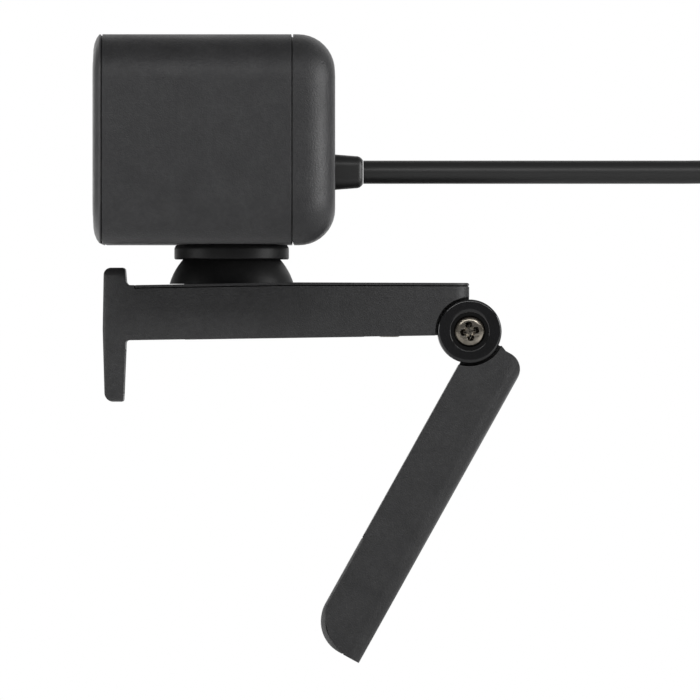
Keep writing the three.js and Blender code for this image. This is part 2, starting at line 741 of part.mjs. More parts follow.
/** The plate inside the front that carries the lens, the microphones, the light pipe and the board. */
function carrierPlate() {
  const back = FRONT.carrier + 1.4;
  let plate = headBlock([[FRONT.carrier, 4.3], [back, 4.3]]).subtract(
    disc(6.6, FRONT.carrier - 1, back + 1, "y", [0, 0, MIDDLE], 28),
  );
  for (const x of [-BOARD.postX, BOARD.postX]) {
    plate = plate.add(disc(2.6, back - 0.5, BOARD.front - GAP, "y", [x, 0, MIDDLE], 16));
    plate = plate.subtract(disc(1.2, back + 2, BOARD.front, "y", [x, 0, MIDDLE], 10));
  }
  for (const x of [-MICROPHONE_X, MICROPHONE_X]) {
    plate = plate.subtract(disc(2.4, FRONT.carrier - 1, back + 1, "y", [x, 0, MIDDLE], 16));
  }
  plate = plate.subtract(disc(1.3, FRONT.carrier - 1, back + 1, "y", [LED_X, 0, MIDDLE], 12));
  return node("carrier_plate", plate, "satin");
}

/** The shutter's blade and arm with the finger tab, standing open to one side of the lens. */
function privacyShutter() {
  const { width, travel, front, back, tabHeight, tabWidth } = SHUTTER;
  const tabX = travel / 2;
  const blade = box([travel - width / 2, front, MIDDLE - 5.5], [travel + width / 2, back, MIDDLE + 5.5]);
  const arm = box([tabX - 1.9, front, MIDDLE + 4.5], [travel, back, MIDDLE + tabHeight + 1.4]);
  const tab = box(
    [tabX - tabWidth / 2, -24.55, MIDDLE + tabHeight - 1],
    [tabX + tabWidth / 2, back, MIDDLE + tabHeight + 1],
  );
  return node("privacy_shutter", blade.add(arm).add(tab), "gloss");
}

// ------------------------------------------------------------------ camera and electronics

function lensBarrel() {
  const profile = [
    [3.4, -21.7],
    [6.2, -21.7],
    [6.2, -19.7],
    [LENS.barrel, -19.7],
    [LENS.barrel, -11.6],
    [2.6, -11.6],
    [2.6, -18.8],
    [3.4, -18.8],
    [3.4, -21.7],
  ];
  return node("lens_barrel", turn(profile, "y", [0, 0, MIDDLE], 28), "satin");
}

function lensGlass() {
  const profile = [[0, -19.1], [3.1, -19.1], [3.1, -20.6], [2.4, -21.1], [1.3, -21.4], [0, -21.5]];
  return node("lens_glass", turn(profile, "y", [0, 0, MIDDLE], 24), "glass");
}

function lensHolder() {
  const half = LENS.holder / 2;
  const holder = box([-half, -17, MIDDLE - half], [half, BOARD.front - GAP, MIDDLE + half])
    .subtract(disc(LENS.barrel + GAP, -18, BOARD.front + 1, "y", [0, 0, MIDDLE], 28));
  return node("lens_holder", holder, "satin");
}

function electronics() {
  const { width, height, front, back, postX } = BOARD;
  const behind = back + GAP;
  let board = box([-width / 2, front, MIDDLE - height / 2], [width / 2, back, MIDDLE + height / 2]);
  for (const x of [-postX, postX]) board = board.subtract(disc(1.3, -11, -7, "y", [x, 0, MIDDLE], 12));
  const screw = [[0, -14], [0.85, -14], [0.85, behind], [1.9, behind], [1.9, behind + 1.1], [0, behind + 1.1]];
  const microphone = [[0, -22.5], [2.1, -22.5], [2.1, -20.5], [0, -20.5]];
  return [
    node("image_sensor", box([-3.2, -11, MIDDLE - 2.6], [3.2, front - GAP, MIDDLE + 2.6]), "chip"),
    node("main_board", board, "board"),
    node("processor", box([-18.5, behind, MIDDLE - 4.5], [-9.5, behind + 1, MIDDLE + 4.5]), "chip"),
    node("board_connector", box([14, behind, MIDDLE - 3], [22, behind + 5, MIDDLE + 3]), "acetal"),
    ...[-1, 1].map((side, i) =>
      node(`board_screw_${i + 1}`, turn(screw, "y", [side * postX, 0, MIDDLE], 14), "steel"),
    ),
    ...[-1, 1].map((side, i) =>
      node(`microphone_${i + 1}`, turn(microphone, "y", [side * MICROPHONE_X, 0, MIDDLE], 16), "steel"),
    ),
    node("status_light", disc(1, -24.6, -20.4, "y", [LED_X, 0, MIDDLE], 12), "acetal"),
  ];
}

/** The moulded sleeve where the cord leaves the rear cover, with a flange inside. */
function strainRelief() {
  const { height, endHeight, length, nose, z } = RELIEF;
  const flange = push(rounded(9.6, 9.6, 3, [0, z], 4), "y", 15, HEAD.back - HEAD.wall - GAP);
  const neck = insetBlock(
    height,
    height,
    2.1,
    [
      [HEAD.back - HEAD.wall - 1, 0],
      [HEAD.back, 0],
      [HEAD.back + length, (height - endHeight) / 2],
      [HEAD.back + length + nose, (height - CORD.diameter) / 2],
    ],
    "y",
    [0, z],
    4,
  );
  return node("strain_relief", flange.add(neck), "jacket");
}

function head() {
  return groupOf(
    housingSleeve(),
    rearCover(),
    frontBezel(),
    frontWindow(),
    lensRing(),
    carrierPlate(),
    lensBarrel(),
    lensGlass(),
    lensHolder(),
    ...electronics(),
    strainRelief(),
  );
}

// ------------------------------------------------------------------ cord

function cordTube() {
  const curve = new THREE.CatmullRomCurve3(CORD_ROUTE.map((point) => new THREE.Vector3(...point)), false);
  const section = new THREE.Shape(arc(0, 0, CORD.diameter / 2, 0, 360 - 360 / CORD.sides, CORD.sides - 1));
  const geometry = new THREE.ExtrudeGeometry(section, { extrudePath: curve, steps: 12, bevelEnabled: false });
  return node("usb_cord", solid(geometry), "jacket");
}

/** The outer shape of the coiled part of the cord, its axis along Y. */
function cordCoil() {
  const { y, z, middle, rows, columns } = COIL;
  const radial = ((rows - 1) * CORD.pitch + CORD.diameter) / 2;
  const along = ((columns - 1) * CORD.pitch + CORD.diameter) / 2;
  const section = rounded(2 * radial, 2 * along, 1.8, [middle, 0], 2);
  const profile = [...section, section[0]].map((point) => [point.x, point.y]);
  return node("usb_cord_coil", turn(profile, "y", [0, y, z], 40), "jacket");
}

/** The hook-and-loop strap that holds the coil together, drawn at the coil's top and turned round it. */
function cordTie() {
  const { y, z } = COIL;
  const thick = 1.1;
  const [low, high, side] = [15.4, 30.3, 9.1];
  const outer = rounded(2 * (side + thick), high - low + 2 * thick, 2.4, [y, (low + high) / 2], 4);
  const inner = rounded(2 * side, high - low, 1.4, [y, (low + high) / 2], 4);
  const strap = node("cord_tie", push(outer, "x", -5, 5).subtract(push(inner, "x", -6, 6)), "fabric");
  const group = groupOf(strap);
  group.position.z = z;
  group.rotation.y = THREE.MathUtils.degToRad(-40);
  return group;
}

/** The plug that hangs beside the coil, its metal shell down. */
function usbPlug() {
  const x = COIL.middle + CORD.pitch;
  const y = COIL.y + ((COIL.columns - 1) / 2) * CORD.pitch;
  const bootTop = COIL.z - PLUG.drop;
  const bodyTop = bootTop - PLUG.boot;
  const bodyEnd = bodyTop - PLUG.body;
  const shellEnd = bodyEnd - PLUG.shell;
  const body = insetBlock(
    PLUG.width,
    PLUG.depth,
    2.2,
    [[bodyEnd, 0.5], [bodyEnd + 0.6, 0], [bodyTop - 3, 0], [bodyTop, 1.2]],
    "z",
    [x, y],
    4,
  ).add(turn([[0, bodyTop - 1], [3.2, bodyTop - 1], [2.5, bootTop], [0, bootTop]], "z", [x, y, 0], 20));
  const shell = box([x - 6, y - 2.25, shellEnd], [x + 6, y + 2.25, bodyEnd - GAP]).subtract(
    box([x - 5.65, y - 1.9, shellEnd - 1], [x + 5.65, y + 1.9, bodyEnd - 2.5]),
  );
  const tongue = box([x - 5.2, y - 1.6, shellEnd + 0.9], [x + 5.2, y + 0.2, bodyEnd - 2.8]);
  return [
    node("usb_plug_body", body, "jacket"),
    node("usb_plug_shell", shell, "steel"),
    node("usb_plug_tongue", tongue, "acetal"),
  ];
}

function cord() {
  return groupOf(cordTube(), cordCoil(), cordTie(), ...usbPlug());
}

// ------------------------------------------------------------------ the whole webcam

const webcam = groupOf(clip(), leg(), swivel(), tiltJoint(), head(), privacyShutter(), cord());
webcam.name = "webcam";

export default webcam;
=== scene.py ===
"""Visual model of a webcam on a folding monitor clip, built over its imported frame.

The makers work in millimetres and each finished piece is written in metres, in the frame's own axes:
X across the clip, Y from the lens side to the cord side, Z up.
"""

import logging
import math
from dataclasses import dataclass, field
from enum import Enum
from typing import Callable, Iterable, Optional, Sequence

import bmesh
import bpy
from mathutils import Matrix, Vector

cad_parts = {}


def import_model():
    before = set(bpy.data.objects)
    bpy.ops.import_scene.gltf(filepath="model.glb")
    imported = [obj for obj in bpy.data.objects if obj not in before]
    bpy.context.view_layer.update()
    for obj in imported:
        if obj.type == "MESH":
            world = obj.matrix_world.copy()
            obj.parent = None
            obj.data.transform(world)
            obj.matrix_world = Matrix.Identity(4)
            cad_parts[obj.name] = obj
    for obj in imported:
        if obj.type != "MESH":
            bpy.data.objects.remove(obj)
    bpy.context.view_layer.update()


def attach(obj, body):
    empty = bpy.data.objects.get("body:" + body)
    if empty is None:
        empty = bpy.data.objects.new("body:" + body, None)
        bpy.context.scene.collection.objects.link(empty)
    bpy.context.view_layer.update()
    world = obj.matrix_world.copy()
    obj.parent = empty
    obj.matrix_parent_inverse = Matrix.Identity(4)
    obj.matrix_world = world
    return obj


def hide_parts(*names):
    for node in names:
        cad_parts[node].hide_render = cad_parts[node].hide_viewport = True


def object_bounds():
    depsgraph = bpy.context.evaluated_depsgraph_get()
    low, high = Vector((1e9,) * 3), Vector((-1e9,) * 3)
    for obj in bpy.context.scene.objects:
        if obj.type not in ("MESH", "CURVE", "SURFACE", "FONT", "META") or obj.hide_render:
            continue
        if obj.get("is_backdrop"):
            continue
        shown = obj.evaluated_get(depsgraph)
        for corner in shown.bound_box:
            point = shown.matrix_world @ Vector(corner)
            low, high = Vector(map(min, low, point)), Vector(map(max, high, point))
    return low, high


LOG = logging.getLogger("webcam")
MM = 0.001
Form = bmesh.types.BMesh


# ---------------------------------------------------------------- words for the makers


class Axis(Enum):
    """A direction that a shape is pushed along or turned about."""

    X = (1.0, 0.0, 0.0)
    Y = (0.0, 1.0, 0.0)
    Z = (0.0, 0.0, 1.0)

    @property
    def vector(self) -> Vector:
        """The axis as a vector."""
        return Vector(self.value)

    def place(self, first: float, second: float, along: float) -> Vector:
        """Puts an outline's point in space: (Y, Z), (X, Z) or (X, Y) and the place along the axis."""
        if self is Axis.X:
            return Vector((along, first, second))
        if self is Axis.Y:
            return Vector((first, along, second))
        return Vector((first, second, along))

    def split(self, point: Vector) -> tuple[float, float, float]:
        """The two outline coordinates of a point and its place along the axis."""
        if self is Axis.X:
            return point.y, point.z, point.x
        if self is Axis.Y:
            return point.x, point.z, point.y
        return point.x, point.y, point.z


class Join(Enum):
    """What is done with two closed forms."""

    ADD = "UNION"
    CUT = "DIFFERENCE"
    KEEP = "INTERSECT"


class Pattern(Enum):
    """The fine relief of a finish."""

    GRAIN = "grain"
    TURNED = "turned"
    WEAVE = "weave"
    BOARD = "board"


@dataclass(frozen=True)
class Corner:
    """A corner of an outline, rounded over a length measured back along its two sides."""

    first: float
    second: float
    cut: float = 0.0
    steps: int = 8


# ---------------------------------------------------------------- bmesh makers, in millimetres


def closed_outward(form: Form) -> Form:
    """Merges doubled points and turns every face outwards."""
    bmesh.ops.remove_doubles(form, verts=form.verts, dist=1e-4)
    bmesh.ops.recalc_face_normals(form, faces=form.faces)
    return form


def soften_corners(form: Form, verts: Sequence[bmesh.types.BMVert], corners: Sequence[Corner]) -> None:
    """Rounds the points of an outline.

    Args:
        form: The form that holds the outline.
        verts: The outline's points.
        corners: The corner that each point stands for.
    """
    for vert, corner in zip(verts, corners):
        if corner.cut > 0:
            bmesh.ops.bevel(
                form,
                geom=[vert],
                offset=corner.cut,
                offset_type="OFFSET",
                affect="VERTICES",
                segments=corner.steps,
                profile=0.5,
                material=-1,
            )


def flat_face(corners: Sequence[Corner], axis: Axis, along: float) -> Form:
    """Makes one flat face from an outline.

    Args:
        corners: The outline, in order.
        axis: The face's normal.
        along: The face's place on that axis.

    Returns:
        A form with the one face.
    """
    form = bmesh.new()
    verts = [form.verts.new(axis.place(c.first, c.second, along)) for c in corners]
    form.faces.new(verts)
    soften_corners(form, verts, corners)
    return form


def push(form: Form, faces: Iterable[bmesh.types.BMFace], step: Vector) -> list[bmesh.types.BMFace]:
    """Extrudes faces and moves the new ones.

    Args:
        form: The form that holds the faces.
        faces: The faces.
        step: How far they go.

    Returns:
        The moved faces.
    """
    made = bmesh.ops.extrude_face_region(form, geom=list(faces))["geom"]
    bmesh.ops.translate(form, verts=[g for g in made if isinstance(g, bmesh.types.BMVert)], vec=step)
    return [g for g in made if isinstance(g, bmesh.types.BMFace)]


def prism(corners: Sequence[Corner], axis: Axis, start: float, end: float) -> Form:
    """Pushes an outline along an axis.

    Args:
        corners: The outline, in (Y, Z), (X, Z) or (X, Y).
        axis: The axis.
        start: Where it begins.
        end: Where it ends.

    Returns:
        The closed form.
    """
    form = flat_face(corners, axis, start)
    push(form, form.faces[:], axis.vector * (end - start))
    return closed_outward(form)


def slab(low: Sequence[float], high: Sequence[float]) -> Form:
    """A plain block between two corners, used as a cutter or a core."""
    form = bmesh.new()
    bmesh.ops.create_cube(form, size=1.0)
    size = [b - a for a, b in zip(low, high)]
    middle = [(a + b) / 2 for a, b in zip(low, high)]
    bmesh.ops.scale(form, vec=size, verts=form.verts)
    bmesh.ops.translate(form, vec=middle, verts=form.verts)
    return form


def rounded_corners(
    width: float, height: float, radius: float, centre: Sequence[float] = (0.0, 0.0), steps: int = 10
) -> list[Corner]:
    """The four corners of a rounded rectangle about a centre."""
    x, y = width / 2, height / 2
    signs = ((-1, -1), (1, -1), (1, 1), (-1, 1))
    return [Corner(centre[0] + a * x, centre[1] + b * y, radius, steps) for a, b in signs]


def stepped_block(
    size: Sequence[float],
    radius: float,
    stations: Sequence[tuple[float, float]],
    axis: Axis,
    centre: Sequence[float] = (0.0, 0.0),
    steps: int = 10,
) -> Form:
    """A block whose round-cornered outline shrinks from station to station.

    Args:
        size: The outline's width and height where the inset is 0.
        radius: Its corner radius there.
        stations: Pairs of a place along the axis and the inset there, the inset never falling.
        axis: The axis.
        centre: The outline's centre.
        steps: Segments to a corner.

    Returns:
        The closed form.
    """
    start, inset = stations[0]
    corner = max(radius - inset, 0.3)
    outline = rounded_corners(size[0] - 2 * inset, size[1] - 2 * inset, corner, centre, steps)
    form = flat_face(outline, axis, start)
    cap = form.faces[:]
    for number, (place, target) in enumerate(stations[1:]):
        last = cap
        cap = push(form, last, axis.vector * (place - start))
        if number > 0:
            bmesh.ops.delete(form, geom=last, context="FACES_ONLY")
        shrunk = max(radius - target, 0.3)
        for vert in cap[0].verts:
            spot = axis.split(vert.co)
            moved = []
            for value, middle, length in zip(spot, centre, size):
                side = math.copysign(1.0, value - middle)
                pivot = middle + side * (length / 2 - inset - corner)
                landing = middle + side * (length / 2 - target - shrunk)
                moved.append(landing + (value - pivot) * shrunk / corner)
            vert.co = axis.place(*moved, spot[2])
        start, inset, corner = place, target, shrunk
    return closed_outward(form)


def rounding(start: float, radius: float, inset: float, steps: int = 10) -> list[tuple[float, float]]:
    """Stations of a block's end that is rounded over."""
    turns = [math.pi / 2 * i / steps for i in range(steps + 1)]
    return [(start + radius * math.sin(t), inset + radius * (1 - math.cos(t))) for t in turns]


def turned(
    profile: Sequence[Corner],
    axis: Axis,
    centre: Sequence[float] = (0.0, 0.0, 0.0),
    steps: int = 96,
    closed: bool = False,
) -> Form:
    """Turns a profile of radius and place along the axis.

    Args:
        profile: Corners of (radius, along).
        axis: The axis that it turns about.
        centre: A point on the axis.
        steps: Steps to the full turn.
        closed: Whether the profile closes on itself, as a ring's does.

    Returns:
        The closed form.
    """
    form = bmesh.new()
    spots = {Axis.X: lambda c: (c.second, c.first, 0), Axis.Y: lambda c: (c.first, c.second, 0)}
    spot: Callable[[Corner], tuple] = spots.get(axis, lambda c: (c.first, 0, c.second))
    verts = [form.verts.new(spot(corner)) for corner in profile]
    pairs = list(zip(verts, verts[1:])) + ([(verts[-1], verts[0])] if closed else [])
    for pair in pairs:
        form.edges.new(pair)
    soften_corners(form, verts, profile)
    bmesh.ops.spin(
        form,
        geom=form.verts[:] + form.edges[:],
        cent=(0, 0, 0),
        axis=axis.value,
        dvec=(0, 0, 0),
        angle=math.tau,
        steps=steps,
        use_merge=True,
        use_duplicate=False,
    )
    bmesh.ops.dissolve_degenerate(form, edges=form.edges, dist=1e-4)
    closed_outward(form)
    bmesh.ops.translate(form, verts=form.verts, vec=centre)
    return form


def rod(radius: float, start: float, end: float, axis: Axis, centre: Sequence[float], steps: int = 64) -> Form:
    """A round bar along an axis, used as a cutter or a core."""
    profile = [Corner(0, start), Corner(radius, start), Corner(radius, end), Corner(0, end)]
    return turned(profile, axis, centre, steps)


def shaped(form: Form, *jobs: tuple[Join, Form]) -> Form:
    """Adds to, cuts or trims a form by others, one after another.

    Args:
        form: The form to start from.
        jobs: What is done, and with which form.

    Returns:
        The new form.
    """
    for join, tool in jobs:
        stand_ins = []
        for part in (form, tool):
            mesh = bpy.data.meshes.new("joining")
            part.to_mesh(mesh)
            part.free()
            item = bpy.data.objects.new("joining", mesh)
            bpy.context.collection.objects.link(item)
            stand_ins.append(item)
        modifier = stand_ins[0].modifiers.new("join", "BOOLEAN")
        modifier.operation = join.value
        modifier.solver = "EXACT"
        modifier.object = stand_ins[1]
        seen = stand_ins[0].evaluated_get(bpy.context.evaluated_depsgraph_get())
        form = bmesh.new()
        form.from_mesh(seen.to_mesh())
        seen.to_mesh_clear()
        for item in stand_ins:
            mesh = item.data
            bpy.data.objects.remove(item)
            bpy.data.meshes.remove(mesh)
        bmesh.ops.remove_doubles(form, verts=form.verts, dist=1e-3)
        bmesh.ops.dissolve_limit(
            form, angle_limit=math.radians(0.3), verts=form.verts, edges=form.edges, use_dissolve_boundaries=False
        )
        bmesh.ops.dissolve_degenerate(form, edges=form.edges, dist=1e-3)
    return form


def round_edges(form: Form, chosen: Callable[[bmesh.types.BMEdge], bool], width: float, steps: int) -> Form:
    """Bevels the edges that a test picks.

    Args:
        form: The form.
        chosen: The test.
        width: The bevel's width.
        steps: Its segments.

    Returns:
        The same form.
    """
    bmesh.ops.bevel(
        form,
        geom=[edge for edge in form.edges if chosen(edge)],
        offset=width,
        offset_type="OFFSET",
        affect="EDGES",
        segments=steps,
        profile=0.5,
        material=-1,
    )
    return form


def refined_copy(node: str) -> Form:
    """A merged copy of a frame node's mesh in millimetres, its flat faces made whole."""
    form = bmesh.new()
    form.from_mesh(bpy.data.objects[node].data)
    bmesh.ops.scale(form, vec=(1 / MM,) * 3, verts=form.verts)
    bmesh.ops.remove_doubles(form, verts=form.verts, dist=2e-3)
    bmesh.ops.dissolve_limit(form, angle_limit=math.radians(0.5), verts=form.verts, edges=form.edges)
    return form


# ---------------------------------------------------------------- shader groups


class ShaderGroup:
    """A shared effect as a node group with named inputs and outputs."""

    def __init__(self, name: str, inputs: dict[str, float], outputs: dict[str, str]) -> None:
        """Makes the empty group.

        Args:
            name: The group's name.
            inputs: The inputs' names and defaults.
            outputs: The outputs' names and socket types.
        """
        self.tree = bpy.data.node_groups.new(name, "ShaderNodeTree")
        for title, default in inputs.items():
            socket = self.tree.interface.new_socket(title, in_out="INPUT", socket_type="NodeSocketFloat")
            socket.default_value = default
        for title, kind in outputs.items():
            self.tree.interface.new_socket(title, in_out="OUTPUT", socket_type=kind)
        self.source = self.tree.nodes.new("NodeGroupInput")
        self.sink = self.tree.nodes.new("NodeGroupOutput")

    def node(self, kind: str, wires: Optional[dict] = None, **settings: object) -> bpy.types.Node:
        """Adds a node; see add_node."""
        return add_node(self.tree, kind, wires, **settings)

    def wire_out(self, title: str, socket: bpy.types.NodeSocket) -> None:
        """Feeds one of the group's outputs."""
        self.tree.links.new(socket, self.sink.inputs[title])


def add_node(
    tree: bpy.types.NodeTree, kind: str, wires: Optional[dict] = None, **settings: object
) -> bpy.types.Node:
    """Adds a shader node.

    Args:
        tree: The tree that it goes in.
        kind: The node's type, without the ShaderNode prefix.
        wires: Input names or numbers, each with a value or with the socket that feeds it.
        settings: The node's own properties.

    Returns:
        The node.
    """
    node = tree.nodes.new("ShaderNode" + kind)
    for name, value in settings.items():
        setattr(node, name, value)
    for key, value in (wires or {}).items():
        if isinstance(value, bpy.types.NodeSocket):
            tree.links.new(value, node.inputs[key])
        else:
            node.inputs[key].default_value = value
    return node


def reciprocal(group: ShaderGroup, socket: bpy.types.NodeSocket) -> bpy.types.NodeSocket:
    """One over a value, for turning a size into a texture's scale."""
    return group.node("Math", {0: 1.0, 1: socket}, operation="DIVIDE").outputs[0]


def moulded_grain() -> ShaderGroup:
    """Spark-eroded grain: fine pits in two sizes, and a slow mottle of the colour."""
    group = ShaderGroup(
        "moulded_grain",
        {"Size": 0.0003, "Depth": 1.0},
        {"Height": "NodeSocketFloat", "Mottle": "NodeSocketFloat"},
    )
    place = group.node("TexCoord").outputs["Object"]
    scale = reciprocal(group, group.source.outputs["Size"])
    fine = group.node("TexNoise", {"Vector": place, "Scale": scale, "Detail": 3.0, "Roughness": 0.65})
    cells = group.node("TexVoronoi", {"Vector": place, "Scale": scale}, feature="SMOOTH_F1")
    pits = group.node("Math", {0: cells.outputs["Distance"], 1: 0.55}, operation="MULTIPLY")
    height = group.node("Math", {0: fine.outputs[0], 1: pits.outputs[0]}, operation="ADD")
    deep = group.node("Math", {0: height.outputs[0], 1: group.source.outputs["Depth"]}, operation="MULTIPLY")
    slow = group.node("TexNoise", {"Vector": place, "Scale": 210.0, "Detail": 4.0, "Roughness": 0.6})
    blend = group.node("Math", {0: slow.outputs[0], 1: fine.outputs[0]}, operation="MULTIPLY")
    group.wire_out("Height", deep.outputs[0])
    group.wire_out("Mottle", blend.outputs[0])
    return group


def worn_and_highlit_edges() -> ShaderGroup:
    """A mask of the outer edges, broken up by noise: rubbed wear on most finishes, and on the nickel steel partly a
    painted edge highlight.
    """
    group = ShaderGroup("worn_and_highlit_edges", {"Width": 0.0003, "Amount": 0.5}, {"Mask": "NodeSocketFloat"})
    round_normal = group.node("Bevel", {"Radius": group.source.outputs["Width"]}, samples=4)
    true_normal = group.node("NewGeometry").outputs["Normal"]
    same = group.node("VectorMath", {0: round_normal.outputs[0], 1: true_normal}, operation="DOT_PRODUCT")
    apart = group.node("Math", {0: 1.0, 1: same.outputs["Value"]}, operation="SUBTRACT")
    sharp = group.node("Math", {0: apart.outputs[0], 1: 5.0}, operation="MULTIPLY", use_clamp=True)
    place = group.node("TexCoord").outputs["Object"]
    noise = group.node("TexNoise", {"Vector": place, "Scale": 900.0, "Detail": 5.0, "Roughness": 0.7})
    broken = group.node(
        "MapRange", {"Value": noise.outputs[0], "From Min": 0.42, "From Max": 0.62, "To Min": 0.15}
    )
    mask = group.node("Math", {0: sharp.outputs[0], 1: broken.outputs[0]}, operation="MULTIPLY")
    out = group.node(
        "Math", {0: mask.outputs[0], 1: group.source.outputs["Amount"]}, operation="MULTIPLY", use_clamp=True
    )
    group.wire_out("Mask", out.outputs[0])
    return group


def settled_dust() -> ShaderGroup:
    """A mask of thin dust on faces that look up, with a few specks."""
    group = ShaderGroup("settled_dust", {"Amount": 0.2}, {"Mask": "NodeSocketFloat"})
    normal = group.node("NewGeometry").outputs["Normal"]
    upward = group.node("SeparateXYZ", {0: normal}).outputs["Z"]
    facing = group.node("MapRange", {"Value": upward, "From Min": 0.35, "From Max": 1.0})
    place = group.node("TexCoord").outputs["Object"]
    film = group.node("TexNoise", {"Vector": place, "Scale": 160.0, "Detail": 6.0, "Roughness": 0.7})
    specks = group.node("TexNoise", {"Vector": place, "Scale": 2600.0, "Detail": 1.0})
    dots = group.node("MapRange", {"Value": specks.outputs[0], "From Min": 0.66, "From Max": 0.74})
    both = group.node("Math", {0: film.outputs[0], 1: dots.outputs[0]}, operation="ADD")
    laid = group.node("Math", {0: both.outputs[0], 1: facing.outputs[0]}, operation="MULTIPLY")
    out = group.node(
        "Math", {0: laid.outputs[0], 1: group.source.outputs["Amount"]}, operation="MULTIPLY", use_clamp=True
    )
    group.wire_out("Mask", out.outputs[0])
    return group


def fine_scratches() -> ShaderGroup:
    """Hairline marks in two directions, as handling and turning leave."""
    group = ShaderGroup("fine_scratches", {"Size": 0.0002}, {"Height": "NodeSocketFloat"})
    place = group.node("TexCoord").outputs["Object"]
    scale = reciprocal(group, group.source.outputs["Size"])
    lines = []
    for stretch in ((1.0, 0.06, 1.0), (0.08, 1.0, 0.5)):
        drawn = group.node("Mapping", {"Vector": place, "Scale": stretch, "Rotation": (0.3, 0.5, 0.2)})
        lines.append(group.node("TexNoise", {"Vector": drawn.outputs[0], "Scale": scale, "Detail": 2.0}))
    both = group.node("Math", {0: lines[0].outputs[0], 1: lines[1].outputs[0]}, operation="ADD")
    group.wire_out("Height", both.outputs[0])
    return group


def crossed_weave() -> ShaderGroup:
    """Crossed threads of a strap."""
    group = ShaderGroup("crossed_weave", {"Size": 0.0006}, {"Height": "NodeSocketFloat"})
    place = group.node("TexCoord").outputs["Object"]
    scale = reciprocal(group, group.source.outputs["Size"])
    threads = [
        group.node("TexWave", {"Vector": place, "Scale": scale, "Distortion": 0.6}, bands_direction=way)
        for way in ("X", "DIAGONAL")
    ]
    both = group.node("Math", {0: threads[0].outputs[1], 1: threads[1].outputs[1]}, operation="MULTIPLY")
    group.wire_out("Height", both.outputs[0])
    return group


GROUPS: dict[str, Callable[[], ShaderGroup]] = {
    "moulded_grain": moulded_grain,
    "worn_and_highlit_edges": worn_and_highlit_edges,
    "settled_dust": settled_dust,
    "fine_scratches": fine_scratches,
    "crossed_weave": crossed_weave,
}


def place_group(tree: bpy.types.NodeTree, name: str, **values: float) -> bpy.types.Node:
    """Places a shared effect in a material, building it the first time.

    Args:
        tree: The material's tree.
        name: The effect's name.
        values: Its inputs in this material, underscores for spaces.

    Returns:
        The group's node.
    """
    if name not in bpy.data.node_groups:
        GROUPS[name]()
    node = tree.nodes.new("ShaderNodeGroup")
    node.node_tree = bpy.data.node_groups[name]
    for title, value in values.items():
        node.inputs[title].default_value = value
    return node


# ---------------------------------------------------------------- finishes


